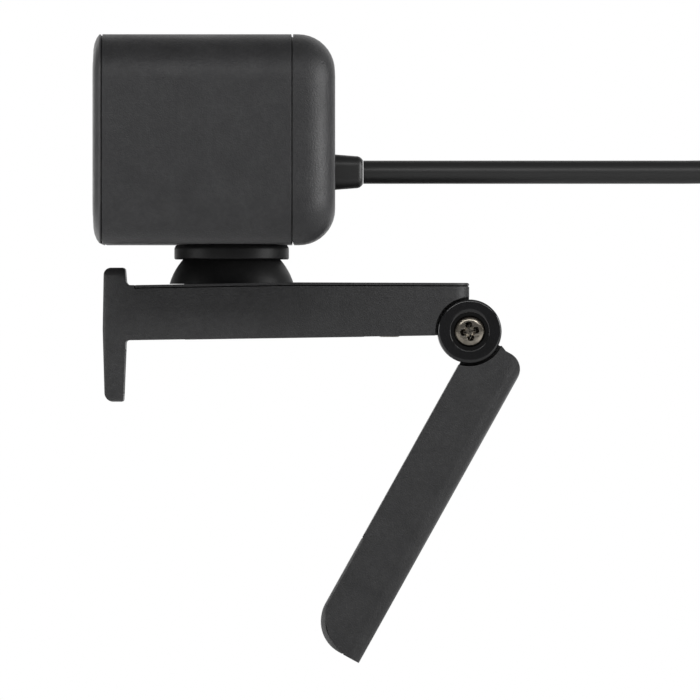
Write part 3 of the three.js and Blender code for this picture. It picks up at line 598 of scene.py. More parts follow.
@dataclass(frozen=True)
class Finish:
    """One material: its colours, gloss, relief, wear, painted edge highlights and dust."""

    name: str
    base: tuple[float, float, float]
    shade: tuple[float, float, float]
    roughness: float
    spread: float = 0.1
    metallic: float = 0.0
    pattern: Pattern = Pattern.GRAIN
    size: float = 0.0003
    relief: float = 0.4
    depth: float = 0.00002
    # edge, edge_width and edge_wear_and_highlight: colour, width and amount of the lighter edges; rubbed wear, and on
    # the nickel steel partly a painted edge highlight
    edge: tuple[float, float, float] = (0.1, 0.1, 0.1)
    edge_width: float = 0.0003
    edge_wear_and_highlight: float = 0.4
    dust: float = 0.05
    coat: float = 0.0
    specular: float = 0.5
    transmission: float = 0.0
    glow: float = 0.0

    def relief_socket(self, tree: bpy.types.NodeTree) -> bpy.types.NodeSocket:
        """The height of the finish's fine relief."""
        if self.pattern is Pattern.WEAVE:
            return place_group(tree, "crossed_weave", Size=self.size).outputs["Height"]
        if self.pattern is Pattern.TURNED:
            return place_group(tree, "fine_scratches", Size=self.size).outputs["Height"]
        return place_group(tree, "moulded_grain", Size=self.size).outputs["Height"]

    def colour_socket(self, tree: bpy.types.NodeTree) -> bpy.types.NodeSocket:
        """The base colour with mottle, board tracks where it has them, edges lightened by wear and partly by a painted
        highlight, and dust.
        """
        mottle = place_group(tree, "moulded_grain", Size=self.size * 3).outputs["Mottle"]
        spread = add_node(tree, "MapRange", {"Value": mottle, "From Min": 0.12, "From Max": 0.4})
        colour = self.mixed(tree, spread.outputs[0], (*self.base, 1), (*self.shade, 1))
        if self.pattern is Pattern.BOARD:
            place = add_node(tree, "TexCoord").outputs["Object"]
            bricks = add_node(
                tree, "TexBrick", {"Vector": place, "Scale": 260.0, "Mortar Size": 0.02}, offset=0.37
            )
            colour = self.mixed(tree, bricks.outputs["Fac"], colour, (0.05, 0.3, 0.12, 1))
        # Lighter edges: rubbed wear, and on the nickel steel partly a painted edge highlight.
        edge_wear_and_highlight_mask = place_group(tree, "worn_and_highlit_edges", Width=self.edge_width, Amount=self.edge_wear_and_highlight)
        colour = self.mixed(tree, edge_wear_and_highlight_mask.outputs["Mask"], colour, (*self.edge, 1))
        dusty = place_group(tree, "settled_dust", Amount=self.dust)
        return self.mixed(tree, dusty.outputs["Mask"], colour, (0.3, 0.29, 0.27, 1))

    @staticmethod
    def mixed(tree: bpy.types.NodeTree, mask: bpy.types.NodeSocket, first: object, second: object):
        """Two colours mixed by a mask."""
        mix = tree.nodes.new("ShaderNodeMix")
        mix.data_type = "RGBA"
        tree.links.new(mask, mix.inputs[0])
        for index, value in ((6, first), (7, second)):
            if isinstance(value, bpy.types.NodeSocket):
                tree.links.new(value, mix.inputs[index])
            else:
                mix.inputs[index].default_value = value
        return mix.outputs[2]

    def material(self) -> bpy.types.Material:
        """Builds the material, or returns the one already built."""
        if self.name in bpy.data.materials:
            return bpy.data.materials[self.name]
        made = bpy.data.materials.new(self.name)
        made.use_nodes = True
        tree = made.node_tree
        shader = tree.nodes["Principled BSDF"]
        relief = self.relief_socket(tree)
        bump = add_node(tree, "Bump", {"Strength": self.relief, "Distance": self.depth, "Height": relief})
        place = add_node(tree, "TexCoord").outputs["Object"]
        smears = add_node(tree, "TexNoise", {"Vector": place, "Scale": 95.0, "Detail": 5.0, "Roughness": 0.6})
        rough = add_node(
            tree,
            "MapRange",
            {
                "Value": smears.outputs[0],
                "From Min": 0.3,
                "From Max": 0.7,
                "To Min": max(self.roughness - self.spread, 0.02),
                "To Max": min(self.roughness + self.spread, 1.0),
            },
        )
        tree.links.new(self.colour_socket(tree), shader.inputs["Base Color"])
        tree.links.new(rough.outputs[0], shader.inputs["Roughness"])
        tree.links.new(bump.outputs[0], shader.inputs["Normal"])
        shader.inputs["Metallic"].default_value = self.metallic
        shader.inputs["Coat Weight"].default_value = self.coat
        shader.inputs["Coat Roughness"].default_value = 0.06
        shader.inputs["Specular IOR Level"].default_value = self.specular
        shader.inputs["Transmission Weight"].default_value = self.transmission
        if self.glow > 0:
            shader.inputs["Emission Color"].default_value = (*self.base, 1)
            shader.inputs["Emission Strength"].default_value = self.glow
        return made


GREY_GRAIN = Finish(
    "grained_housing", (0.02, 0.02, 0.0215), (0.033, 0.033, 0.0345), 0.43, 0.06, size=0.00028, relief=1.0,
    depth=0.00007, edge=(0.09, 0.09, 0.09),
)
CLIP_GRAIN = Finish(
    "grained_clip", (0.02, 0.02, 0.021), (0.033, 0.033, 0.034), 0.42, 0.06, size=0.00028, relief=1.0,
    depth=0.00007, edge=(0.1, 0.1, 0.1),
)
SATIN_BLACK = Finish(
    "satin_black", (0.007, 0.007, 0.0075), (0.012, 0.012, 0.0125), 0.46, size=0.00018, relief=0.2, depth=0.00001,
    specular=0.3,
)
BEZEL_SATIN = Finish(
    "bezel_satin", (0.045, 0.045, 0.047), (0.065, 0.065, 0.067), 0.4, size=0.0002, relief=0.2, depth=0.00001
)
PIANO_BLACK = Finish(
    "piano_black", (0.004, 0.004, 0.0045), (0.007, 0.007, 0.008), 0.09, 0.03, size=0.004, relief=0.06,
    depth=0.00002, edge=(0.05, 0.05, 0.05), edge_wear_and_highlight=0.3, dust=0.03, coat=0.3,
)
PAD_GREY = Finish(
    "pad_rubber", (0.36, 0.36, 0.355), (0.46, 0.46, 0.455), 0.8, size=0.0005, relief=0.6, depth=0.00003,
    edge=(0.28, 0.28, 0.27), dust=0.2, specular=0.3,
)
JACKET = Finish(
    "cord_jacket", (0.011, 0.011, 0.012), (0.02, 0.02, 0.021), 0.44, size=0.00035, relief=0.25, depth=0.00001,
    edge=(0.06, 0.06, 0.06), edge_wear_and_highlight=0.3,
)
# The light edge colour (0.72, 0.68, 0.6) at an edge amount of 0.9 is partly rubbed wear and partly a painted edge
# highlight.
NICKEL = Finish(
    "nickel_steel", (0.2, 0.18, 0.15), (0.4, 0.365, 0.31), 0.22, 0.1, 1.0, Pattern.TURNED, 0.0003, 0.7, 0.00003,
    edge=(0.72, 0.68, 0.6), edge_width=0.00025, edge_wear_and_highlight=0.9, dust=0.02,
)
BRASS = Finish(
    "turned_brass", (0.52, 0.37, 0.15), (0.66, 0.5, 0.23), 0.25, 0.1, 1.0, Pattern.TURNED, 0.0002, 0.3, 0.00001,
    edge=(0.85, 0.68, 0.36), edge_wear_and_highlight=0.7, dust=0.02,
)
DARK_RING = Finish(
    "anodised_ring", (0.05, 0.05, 0.053), (0.085, 0.085, 0.09), 0.32, 0.08, 1.0, Pattern.TURNED, 0.00015, 0.3,
    0.00001, edge=(0.4, 0.4, 0.4), edge_width=0.00015, edge_wear_and_highlight=0.7, dust=0.02,
)
ACETAL = Finish(
    "natural_acetal", (0.6, 0.59, 0.55), (0.72, 0.71, 0.67), 0.45, size=0.0004, relief=0.2, depth=0.00001,
    edge=(0.8, 0.8, 0.77), dust=0.05,
)
LIGHT_PIPE = Finish(
    "light_pipe", (0.75, 0.8, 0.85), (0.85, 0.88, 0.92), 0.18, 0.05, size=0.001, relief=0.1, depth=0.00001,
    edge=(0.9, 0.95, 1.0), dust=0.02, transmission=0.3,
)
COATED_GLASS = Finish(
    "coated_glass", (0.02, 0.016, 0.04), (0.04, 0.03, 0.075), 0.03, 0.015, size=0.003, relief=0.03,
    depth=0.00001, edge=(0.1, 0.1, 0.14), edge_wear_and_highlight=0.1, dust=0.01, coat=1.0,
)
CHIP = Finish(
    "moulded_chip", (0.012, 0.012, 0.013), (0.022, 0.022, 0.023), 0.5, size=0.0002, relief=0.3, depth=0.00001
)
BOARD = Finish(
    "circuit_board", (0.01, 0.1, 0.04), (0.014, 0.14, 0.055), 0.35, pattern=Pattern.BOARD, size=0.0004,
    relief=0.15, depth=0.00001, edge=(0.3, 0.28, 0.12), edge_wear_and_highlight=0.5,
)
STRAP = Finish(
    "hook_and_loop", (0.014, 0.014, 0.015), (0.03, 0.03, 0.032), 0.92, pattern=Pattern.WEAVE, size=0.0009,
    relief=0.9, depth=0.00012, edge=(0.07, 0.07, 0.07), edge_wear_and_highlight=0.6, dust=0.15, specular=0.2,
)
FLOOR = Finish(
    "pale_floor", (0.86, 0.86, 0.86), (0.9, 0.9, 0.9), 0.85, size=0.002, relief=0.05, depth=0.00005,
    edge_wear_and_highlight=0.0, dust=0.0, specular=0.1,
)

CARRIED_OVER: dict[str, Finish] = {
    "lip_pad": PAD_GREY,
    "cover_screw_1": NICKEL,
    "cover_screw_2": NICKEL,
    "hinge_nut": NICKEL,
    "hinge_washer_right": ACETAL,
    "hinge_washer_left": ACETAL,
    "pan_friction_washer": ACETAL,
    "hinge_bushing": NICKEL,
    "pan_retainer": NICKEL,
    "pan_screw_1": NICKEL,
    "pan_screw_2": NICKEL,
    "pan_screw_3": NICKEL,
    "collar_ring_nut": SATIN_BLACK,
    "tilt_bolt": NICKEL,
    "pressure_washer": ACETAL,
    "disc_spring_1": NICKEL,
    "disc_spring_2": NICKEL,
    "tilt_nut": NICKEL,
    "carrier_plate": SATIN_BLACK,
    "lens_barrel": SATIN_BLACK,
    "lens_holder": SATIN_BLACK,
    "image_sensor": CHIP,
    "main_board": BOARD,
    "processor": CHIP,
    "board_connector": ACETAL,
    "board_screw_1": NICKEL,
    "board_screw_2": NICKEL,
    "microphone_1": NICKEL,
    "microphone_2": NICKEL,
    "usb_plug_tongue": ACETAL,
}


# ---------------------------------------------------------------- finished pieces


@dataclass
class Piece:
    """A form that is ready to become an object of the model."""

    name: str
    form: Form
    finish: Finish
    body: str
    nodes: tuple[str, ...]
    slot: str
    soft_edge: float = 0.12
    edge_steps: int = 2
    sharp: float = 32.0

    def place(self) -> bpy.types.Object:
        """Writes the object in metres, dresses it and hangs it on its body.

        Returns:
            The object.
        """
        form = self.form
        bmesh.ops.recalc_face_normals(form, faces=form.faces)
        bmesh.ops.scale(form, vec=(MM, MM, MM), verts=form.verts)
        mesh = bpy.data.meshes.new(self.name)
        form.to_mesh(mesh)
        form.free()
        mesh.shade_smooth()
        mesh.set_sharp_from_angle(angle=math.radians(self.sharp))
        made = bpy.data.objects.new(self.name, mesh)
        bpy.context.collection.objects.link(made)
        mesh.materials.append(self.finish.material())
        if self.soft_edge > 0:
            bevel = made.modifiers.new("soft_edges", "BEVEL")
            bevel.width = self.soft_edge * MM
            bevel.segments = self.edge_steps
            bevel.limit_method = "ANGLE"
            bevel.angle_limit = math.radians(self.sharp)
            bevel.use_clamp_overlap = True
            bevel.harden_normals = True
        else:
            weighted = made.modifiers.new("even_shading", "WEIGHTED_NORMAL")
            weighted.keep_sharp = True
        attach(made, self.body)
        if self.nodes:
            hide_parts(*self.nodes)
        LOG.info("%s: %d faces, on %s", self.name, len(mesh.polygons), self.body)
        return made


# ---------------------------------------------------------------- camera and studio


@dataclass
class CameraRig:
    """A long lens that looks level at the webcam's side."""

    distance: float = 4.4
    across: float = 0.126
    aim: tuple[float, float, float] = (0.02, 0.0214, -0.002)

    def place(self) -> None:
        """Makes the camera and gives it to the scene."""
        data = bpy.data.cameras.new("side_view")
        data.sensor_width = 36.0
        data.lens = 36.0 * self.distance / self.across
        data.clip_end = 50.0
        rig = bpy.data.objects.new("side_view", data)
        rig.location = Vector(self.aim) + Vector((self.distance, 0, 0))
        rig.rotation_euler = Vector((-1, 0, 0)).to_track_quat("-Z", "Y").to_euler()
        bpy.context.collection.objects.link(rig)
        bpy.context.scene.camera = rig
        LOG.info("camera: %.0f mm lens", data.lens)


@dataclass(frozen=True)
class Softbox:
    """One rectangular light and what it points at."""

    name: str
    place: tuple[float, float, float]
    width: float
    height: float
    power: float
    target: tuple[float, float, float] = (0.0, 0.02, 0.0)

    def hang(self) -> None:
        """Makes the light."""
        data = bpy.data.lights.new(self.name, "AREA")
        data.shape = "RECTANGLE"
        data.size, data.size_y = self.width, self.height
        data.energy = self.power
        lamp = bpy.data.objects.new(self.name, data)
        lamp.location = self.place
        towards = Vector(self.target) - Vector(self.place)
        lamp.rotation_euler = towards.to_track_quat("-Z", "Y").to_euler()
        lamp.visible_camera = False
        bpy.context.collection.objects.link(lamp)


@dataclass
class Studio:
    """A plain pale floor, a white surround and soft lights."""

    floor_drop: float = 0.004
    floor_radius: float = 0.75
    surround: float = 0.165
    floor_lift: float = 0.45
    glow: float = 0.45
    glow_middle: float = 0.045
    lights: tuple[Softbox, ...] = (
        Softbox("side_strip", (1.32, 0.02, 0.7), 1.6, 0.22, 6.0),
        Softbox("back_key", (0.3, 1.15, 0.08), 0.6, 1.1, 12.0),
        Softbox("front_key", (0.35, -1.15, 0.15), 0.5, 0.9, 4.5),
        Softbox("backdrop", (-1.6, 0.02, 0.5), 2.6, 2.2, 14.0),
    )

    def build(self) -> None:
        """Makes the floor, the surround and the lights."""
        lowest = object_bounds()[0].z - self.floor_drop
        form = bmesh.new()
        bmesh.ops.create_circle(form, cap_ends=True, segments=96, radius=self.floor_radius)
        bmesh.ops.translate(form, verts=form.verts, vec=(0, 0.03, lowest))
        mesh = bpy.data.meshes.new("floor")
        form.to_mesh(mesh)
        form.free()
        mesh.materials.append(self.lifted_floor())
        floor = bpy.data.objects.new("floor", mesh)
        bpy.context.collection.objects.link(floor)
        floor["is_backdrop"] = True
        self.light_surround()
        for light in self.lights:
            light.hang()
        LOG.info("studio: floor at %.1f mm, %d lights", lowest / MM, len(self.lights))

    def lifted_floor(self) -> bpy.types.Material:
        """The floor's material, lifted a little to look at and with a glow before and behind the webcam."""
        made = FLOOR.material()
        tree = made.node_tree
        seen = add_node(tree, "LightPath").outputs["Is Camera Ray"]
        place = add_node(tree, "TexCoord").outputs["Object"]
        along = add_node(tree, "SeparateXYZ", {0: place}).outputs["Y"]
        offset = add_node(tree, "Math", {0: along, 1: self.glow_middle}, operation="SUBTRACT")
        away = add_node(tree, "Math", {0: offset.outputs[0]}, operation="ABSOLUTE")
        card = add_node(
            tree, "MapRange", {"Value": away.outputs[0], "From Min": 0.05, "From Max": 0.12, "To Max": self.glow}
        )
        lift = add_node(tree, "Mix", {0: seen, 2: card.outputs[0], 3: self.floor_lift})
        shader = tree.nodes["Principled BSDF"]
        shader.inputs["Emission Color"].default_value = (1, 1, 1, 1)
        tree.links.new(lift.outputs[0], shader.inputs["Emission Strength"])
        return made

    def light_surround(self) -> None:
        """A surround that is white to look at and softer as a light."""
        world = bpy.data.worlds.new("surround")
        bpy.context.scene.world = world
        world.use_nodes = True
        tree = world.node_tree
        tree.nodes.clear()
        seen = add_node(tree, "Background", {"Color": (1, 1, 1, 1), "Strength": 1.0})
        lit = add_node(tree, "Background", {"Color": (1, 1, 1, 1), "Strength": self.surround})
        path = add_node(tree, "LightPath")
        mix = add_node(tree, "MixShader", {0: path.outputs["Is Camera Ray"]})
        tree.links.new(lit.outputs[0], mix.inputs[1])
        tree.links.new(seen.outputs[0], mix.inputs[2])
        out = add_node(tree, "OutputWorld")
        tree.links.new(mix.outputs[0], out.inputs["Surface"])
        bpy.context.scene.view_settings.view_transform = "Standard"


# ---------------------------------------------------------------- cord, coil, tie and plug


@dataclass
class UsbCord:
    """The cord from the strain relief, level and then down into its coil, with its plug below."""

    diameter: float = 4.3
    length: float = 1500.0
    level_z: float = 30.15
    start_y: float = 23.8
    pitch: float = 4.43
    middle: float = 23.4
    centre: tuple[float, float, float] = (0.0, 116.5, -9.21)
    turns: float = 9.125
    shift_arc: float = 0.22
    slots: tuple[tuple[int, int], ...] = (
        (1, 0), (0, 0), (-1, 0), (-1, 1), (0, 1), (1, 1), (1, 2), (0, 2), (0, 3), (1, 3),
    )
    route: tuple[tuple[float, float, float], ...] = (
        (0, 23.8, 30.15),
        (0, 34, 30.15),
        (0, 46, 30.15),
        (0, 58, 30.15),
        (0, 70, 30.15),
        (0, 82, 30.15),
        (0, 91.9, 30.15),
        (0.43, 96.56, 29.72),
        (1.71, 100.9, 28.44),
        (3.73, 104.63, 26.42),
        (6.37, 107.49, 23.78),
        (9.44, 109.29, 20.71),
        (12.73, 109.9, 17.42),
        (16.2, 109.9, 13.95),
    )

    def slot_at(self, turn: float) -> tuple[float, float]:
        """The radius and the place along Y of the cord's line after so many turns."""
        whole = min(int(turn), len(self.slots) - 2)
        share = (turn - whole - (1 - self.shift_arc)) / self.shift_arc
        share = min(max(share, 0.0), 1.0)
        share = share * share * (3 - 2 * share)
        (r0, c0), (r1, c1) = self.slots[whole], self.slots[whole + 1]
        ring, column = r0 + (r1 - r0) * share, c0 + (c1 - c0) * share
        return self.middle + ring * self.pitch, self.centre[1] + (column - 1.5) * self.pitch

    def line(self) -> list[tuple[float, float, float]]:
        """The whole centre line in millimetres: the route, the turns and the drop to the plug."""
        points = list(self.route)
        steps = 28
        for i in range(int(self.turns * steps) + 1):
            turn = i / steps
            radius, y = self.slot_at(turn)
            angle = math.pi / 4 - turn * math.tau
            points.append(
                (self.centre[0] + radius * math.cos(angle), y, self.centre[2] + radius * math.sin(angle))
            )
        last = points[-1]
        side = self.middle + self.pitch
        points.append((side, last[1], self.centre[2] - 7.0))
        points.append((side, last[1], self.centre[2] - 17.6))
        return points

    def lay(self, with_pieces: Sequence[object]) -> bpy.types.Object:
        """Lays the cord as one open curve.

        Args:
            with_pieces: The pieces on it; not used.

        Returns:
            The cord.
        """
        points = self.line()
        curve = bpy.data.curves.new("usb_cord_laid", "CURVE")
        curve.dimensions = "3D"
        curve.bevel_depth = self.diameter / 2 * MM
        curve.bevel_resolution = 5
        curve.resolution_u = 4
        curve.use_fill_caps = True
        spline = curve.splines.new("BEZIER")
        spline.bezier_points.add(len(points) - 1)
        for knot, point in zip(spline.bezier_points, points):
            knot.co = Vector(point) * MM
            knot.handle_left_type = knot.handle_right_type = "AUTO"
        curve.materials.append(JACKET.material())
        made = bpy.data.objects.new("usb_cord_laid", curve)
        bpy.context.collection.objects.link(made)
        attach(made, "head")
        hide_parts("usb_cord", "usb_cord_coil")
        LOG.info("cord: %d points", len(points))
        return made

    def strap(self) -> bpy.types.Object:
        """The strap round the coil, with its end lapped over."""
        x, y, z = self.centre
        low, high, half, thick = 15.5, 30.4, 9.2, 1.0
        middle = (y, (low + high) / 2)
        outer = prism(rounded_corners(2 * (half + thick), high - low + 2 * thick, 2.4, middle), Axis.X, -5, 5)
        inner = prism(rounded_corners(2 * half, high - low, 1.4, middle), Axis.X, -6, 6)
        band = shaped(outer, (Join.CUT, inner))
        lap = prism(
            [
                Corner(y - 3.5, high + thick + 0.05, 0.5),
                Corner(y + half + thick - 2.0, high + thick + 0.05),
                Corner(y + half + thick - 2.0, high + thick + 0.8),
                Corner(y - 3.5, high + thick + 0.7, 0.3),
            ],
            Axis.X,
            -4.9,
            4.9,
        )
        band = shaped(band, (Join.ADD, lap))
        turn = Matrix.Rotation(math.radians(-40), 4, "Y")
        bmesh.ops.transform(band, matrix=turn, verts=band.verts)
        bmesh.ops.translate(band, verts=band.verts, vec=(x, 0, z))
        return Piece("coil_strap", band, STRAP, "head", ("cord_tie",), "tie_fabric", 0.25).place()

    def plug(self) -> list[bpy.types.Object]:
        """The moulded plug with its ribbed boot, and the folded metal shell."""
        x, y = self.middle + self.pitch, self.centre[1] + 1.5 * self.pitch
        top = self.centre[2] - 18
        body_top, body_end = top - 9, top - 31
        grip = prism(rounded_corners(15.6, 7.6, 2.2, (x, y)), Axis.Z, body_end, body_top)
        round_edges(grip, lambda e: abs(e.verts[0].co.z - e.verts[1].co.z) < 1e-4 and e.calc_face_angle(0) > 1, 0.9, 4)
        for i in range(5):
            z = body_top - 5 - i * 2.2
            for side in (-1, 1):
                groove = slab((x + side * 8.1 - 0.75, y - 5, z - 0.45), (x + side * 8.1 + 0.75, y + 5, z + 0.45))
                grip = shaped(grip, (Join.CUT, groove))
        profile = [Corner(0, body_top - 1), Corner(3.2, body_top - 1), Corner(3.1, body_top + 1.2, 0.4)]
        for i in range(3):
            z = body_top + 1.6 + i * 2.2
            profile += [Corner(2.45, z, 0.2), Corner(2.45, z + 0.7, 0.2), Corner(3.0 - i * 0.12, z + 1.0, 0.2)]
            profile += [Corner(2.9 - i * 0.12, z + 1.9, 0.2)]
        profile += [Corner(2.4, top - 0.2, 0.2), Corner(0, top - 0.2)]
        boot = turned(profile, Axis.Z, (x, y, 0), 48)
        moulded = shaped(grip, (Join.ADD, boot))
        shell = prism(rounded_corners(12, 4.5, 0.45, (x, y), 4), Axis.Z, body_end - 18.75, body_end - 0.3)
        hollow = prism(rounded_corners(11.3, 3.8, 0.3, (x, y), 4), Axis.Z, body_end - 20, body_end - 2.5)
        shell = shaped(shell, (Join.CUT, hollow))
        for dx in (-2.9, 2.9):
            window = slab((x + dx - 1.1, y - 4, body_end - 11.5), (x + dx + 1.1, y + 4, body_end - 9.2))
            shell = shaped(shell, (Join.CUT, window))
        return [
            Piece("plug_moulding", moulded, JACKET, "head", ("usb_plug_body",), "cord_jacket", 0.15).place(),
            Piece("plug_shell", shell, NICKEL, "head", ("usb_plug_shell",), "steel", 0.06).place(),
            bpy.data.objects["usb_plug_tongue"],
        ]

    def build(self) -> None:
        """Makes the strap, the plug and the cord."""
        self.lay([self.strap(), *self.plug()])


# ---------------------------------------------------------------- head


@dataclass
class CameraHead:
    """The box-shaped housing with its front, lens and strain relief."""

    size: tuple[float, float] = (94.0, 37.5)
    corner: float = 8.1
    wall: float = 2.0
    bottom: float = 17.1
    seam: float = 10.9
    back: float = 18.7
    back_round: float = 6.6
    relief_z: float = 30.15
    lens_ring_radius: float = 7.3
    tab_height: float = 9.6
    slot_half: float = 8.75
    light_x: float = -16.0
    microphone_x: float = 26.0

    @property
    def middle(self) -> float:
        """The height of the lens."""
        return self.bottom + self.size[1] / 2

    def block(self, *stations: tuple[float, float]) -> Form:
        """A block with the head's outline; see stepped_block."""
        return stepped_block(self.size, self.corner, stations, Axis.Y, (0.0, self.middle), 14)

    def sleeve(self) -> None:
        """The four-sided sleeve round the head, with the hole for the collar's neck."""
        tube = shaped(
            self.block((-23.0, 0), (self.seam, 0)),
            (Join.CUT, self.block((-24, self.wall), (self.seam + 1, self.wall))),
            (Join.CUT, rod(8.3, self.bottom - 1, self.bottom + 3, Axis.Z, (0, 0, 0))),
        )
        Piece("housing", tube, GREY_GRAIN, "head", ("housing_sleeve",), "grained_plastic", 0.12, 3).place()

    def cover(self) -> None:
        """The dished rear cover with its tongue and the cord's outlet."""
        edge = self.seam + 0.3
        start = self.back - self.back_round
        outer = self.block((edge, 0), *rounding(start, self.back_round, 0))
        inner = self.block(
            (edge - 1, self.wall),
            *rounding(start + 0.02, self.back_round - self.wall, self.wall),
        )
        tongue = shaped(
            self.block((edge - 3, self.wall + 0.3), (edge + 1.0, self.wall + 0.3)),
            (Join.CUT, self.block((edge - 4, self.wall + 1.6), (edge + 2, self.wall + 1.6))),
            (Join.CUT, rod(11, self.bottom, self.bottom + 6, Axis.Z, (0, 0, 0))),
        )
        lip = shaped(
            self.block((self.seam + 0.02, 0.5), (edge + 0.3, 0.5)),
            (Join.CUT, self.block((edge - 1, 1.9), (edge + 1, 1.9))),
        )
        outlet = prism(rounded_corners(7.0, 7.0, 2.4, (0, self.relief_z)), Axis.Y, self.back - 5, self.back + 1)
        shell = shaped(outer, (Join.CUT, inner), (Join.ADD, tongue), (Join.ADD, lip), (Join.CUT, outlet))
        Piece("back_shell", shell, GREY_GRAIN, "head", ("rear_cover",), "grained_plastic", 0.08, 3).place()

    def bezel(self) -> None:
        """The front rim, rounded over towards the window."""
        rim = shaped(
            self.block((-20.0, 2.3), (-23.2, 2.3)),
            (
                Join.ADD,
                self.block((-23.25, 0), (-23.5, 0), (-24.0, 0.7), (-24.4, 1.7), (-24.58, 2.7), (-24.65, 3.9)),
            ),
            (Join.ADD, self.block((-23.02, 0.45), (-23.4, 0.45))),
            (Join.CUT, self.block((-26, 4.3), (-22.7, 4.3))),
            (Join.CUT, self.block((-23, 5.6), (-21.9, 5.6))),
            (Join.CUT, self.block((-21.91, 4.0), (-18, 4.0))),
        )
        Piece("front_rim", rim, BEZEL_SATIN, "head", ("front_bezel",), "satin_plastic", 0.15, 3).place()

    def window(self) -> None:
        """The glossy front with holes for the lens, the shutter's tab, the light and the microphones."""
        z = self.middle
        pane = self.block((-23.0, 4.6), (-24.5, 4.6), (-24.72, 4.85))
        jobs = [
            rod(self.lens_ring_radius + 0.3, -26, -22, Axis.Y, (0, 0, z)),
            rod(1.3, -26, -22, Axis.Y, (self.light_x, 0, z), 32),
            prism(
                rounded_corners(2 * self.slot_half, 2.7, 1.2, (0, z + self.tab_height)), Axis.Y, -26, -22
            ),
        ]
        jobs += [rod(0.7, -26, -22, Axis.Y, (x, 0, z), 24) for x in (-self.microphone_x, self.microphone_x)]
        pane = shaped(pane, *((Join.CUT, tool) for tool in jobs))
        Piece("front_pane", pane, PIANO_BLACK, "head", ("front_window",), "gloss_black", 0.08).place()

    def optics(self) -> None:
        """The lens ring with turned steps, the front glass and the light pipe."""
        outer, z = self.lens_ring_radius, self.middle
        ring = [Corner(4.3, -23.1), Corner(outer, -23.1), Corner(outer, -24.6, 0.2), Corner(outer - 0.8, -24.65, 0.1)]
        for i in range(4):
            radius, along = outer - 1.0 - i * 0.52, -24.5 + i * 0.27
            ring += [Corner(radius, along), Corner(radius - 0.36, along + 0.05), Corner(radius - 0.4, along + 0.2)]
        turned_ring = turned(ring, Axis.Y, (0, 0, z), closed=True)
        Piece("lens_trim", turned_ring, DARK_RING, "head", ("lens_ring",), "anodised_ring", 0.03).place()
        dome = [(0, -21.5), (1.3, -21.4), (2.3, -21.12), (3.1, -20.6), (3.1, -19.1), (0, -19.1)]
        cuts = (0, 0.4, 0.4, 0.1, 0.1, 0)
        glass = turned([Corner(r, a, c) for (r, a), c in zip(dome, cuts)], Axis.Y, (0, 0, z))
        Piece("front_glass", glass, COATED_GLASS, "head", ("lens_glass",), "lens_glass", 0.0).place()
        pipe = [Corner(0, -24.6), Corner(1.0, -24.6, 0.25), Corner(1.0, -20.4, 0.1), Corner(0, -20.4)]
        light = turned(pipe, Axis.Y, (self.light_x, 0, z), 40)
        Piece("light_pipe", light, LIGHT_PIPE, "head", ("status_light",), "bearing_plastic", 0.0).place()

    def relief(self) -> None:
        """The strain relief, tapered to the cord with a rounded nose."""
        size = (6.4, 6.4)
        neck = stepped_block(
            size,
            2.1,
            [
                (15.2, 0), (self.back, 0), (22.8, 0.32), (23.15, 0.45), (23.45, 0.68), (23.65, 0.95), (23.72, 1.05),
            ],
            Axis.Y,
            (0, self.relief_z),
            8,
        )
        flange = prism(rounded_corners(9.6, 9.6, 3, (0, self.relief_z)), Axis.Y, 15, 16.4)
        Piece(
            "cord_sleeve", shaped(neck, (Join.ADD, flange)), JACKET, "head", ("strain_relief",), "cord_jacket",
            0.0, sharp=50,
        ).place()

    def build(self) -> None:
        """Makes every piece of the head."""
        self.sleeve()
        self.cover()
        self.bezel()
        self.window()
        self.optics()
        self.relief()


@dataclass
class PrivacyShutter:
    """The sliding blade with its ridged finger tab."""

    travel: float = 12.9
    middle: float = 35.85

    def build(self) -> None:
        """Makes the blade, its arm and the tab."""
        x, z = self.travel, self.middle
        tab_x = x / 2
        blade = prism(rounded_corners(12, 11, 0.8, (x, z), 4), Axis.Y, -22.65, -22.05)
        arm = slab((tab_x - 1.9, -22.65, z + 4.5), (x, -22.05, z + 11.0))
        tab = slab((tab_x - 1.9, -24.55, z + 8.6), (tab_x + 1.9, -22.05, z + 10.6))
        form = shaped(blade, (Join.ADD, arm), (Join.ADD, tab))
        for i in range(-1, 2):
            ridge = slab((tab_x + i * 1.1 - 0.22, -25, z + 8), (tab_x + i * 1.1 + 0.22, -24.3, z + 11))
            form = shaped(form, (Join.CUT, ridge))
        Piece("shutter", form, PIANO_BLACK, "shutter", ("privacy_shutter",), "gloss_black", 0.08).place()


# ---------------------------------------------------------------- swivel and collar


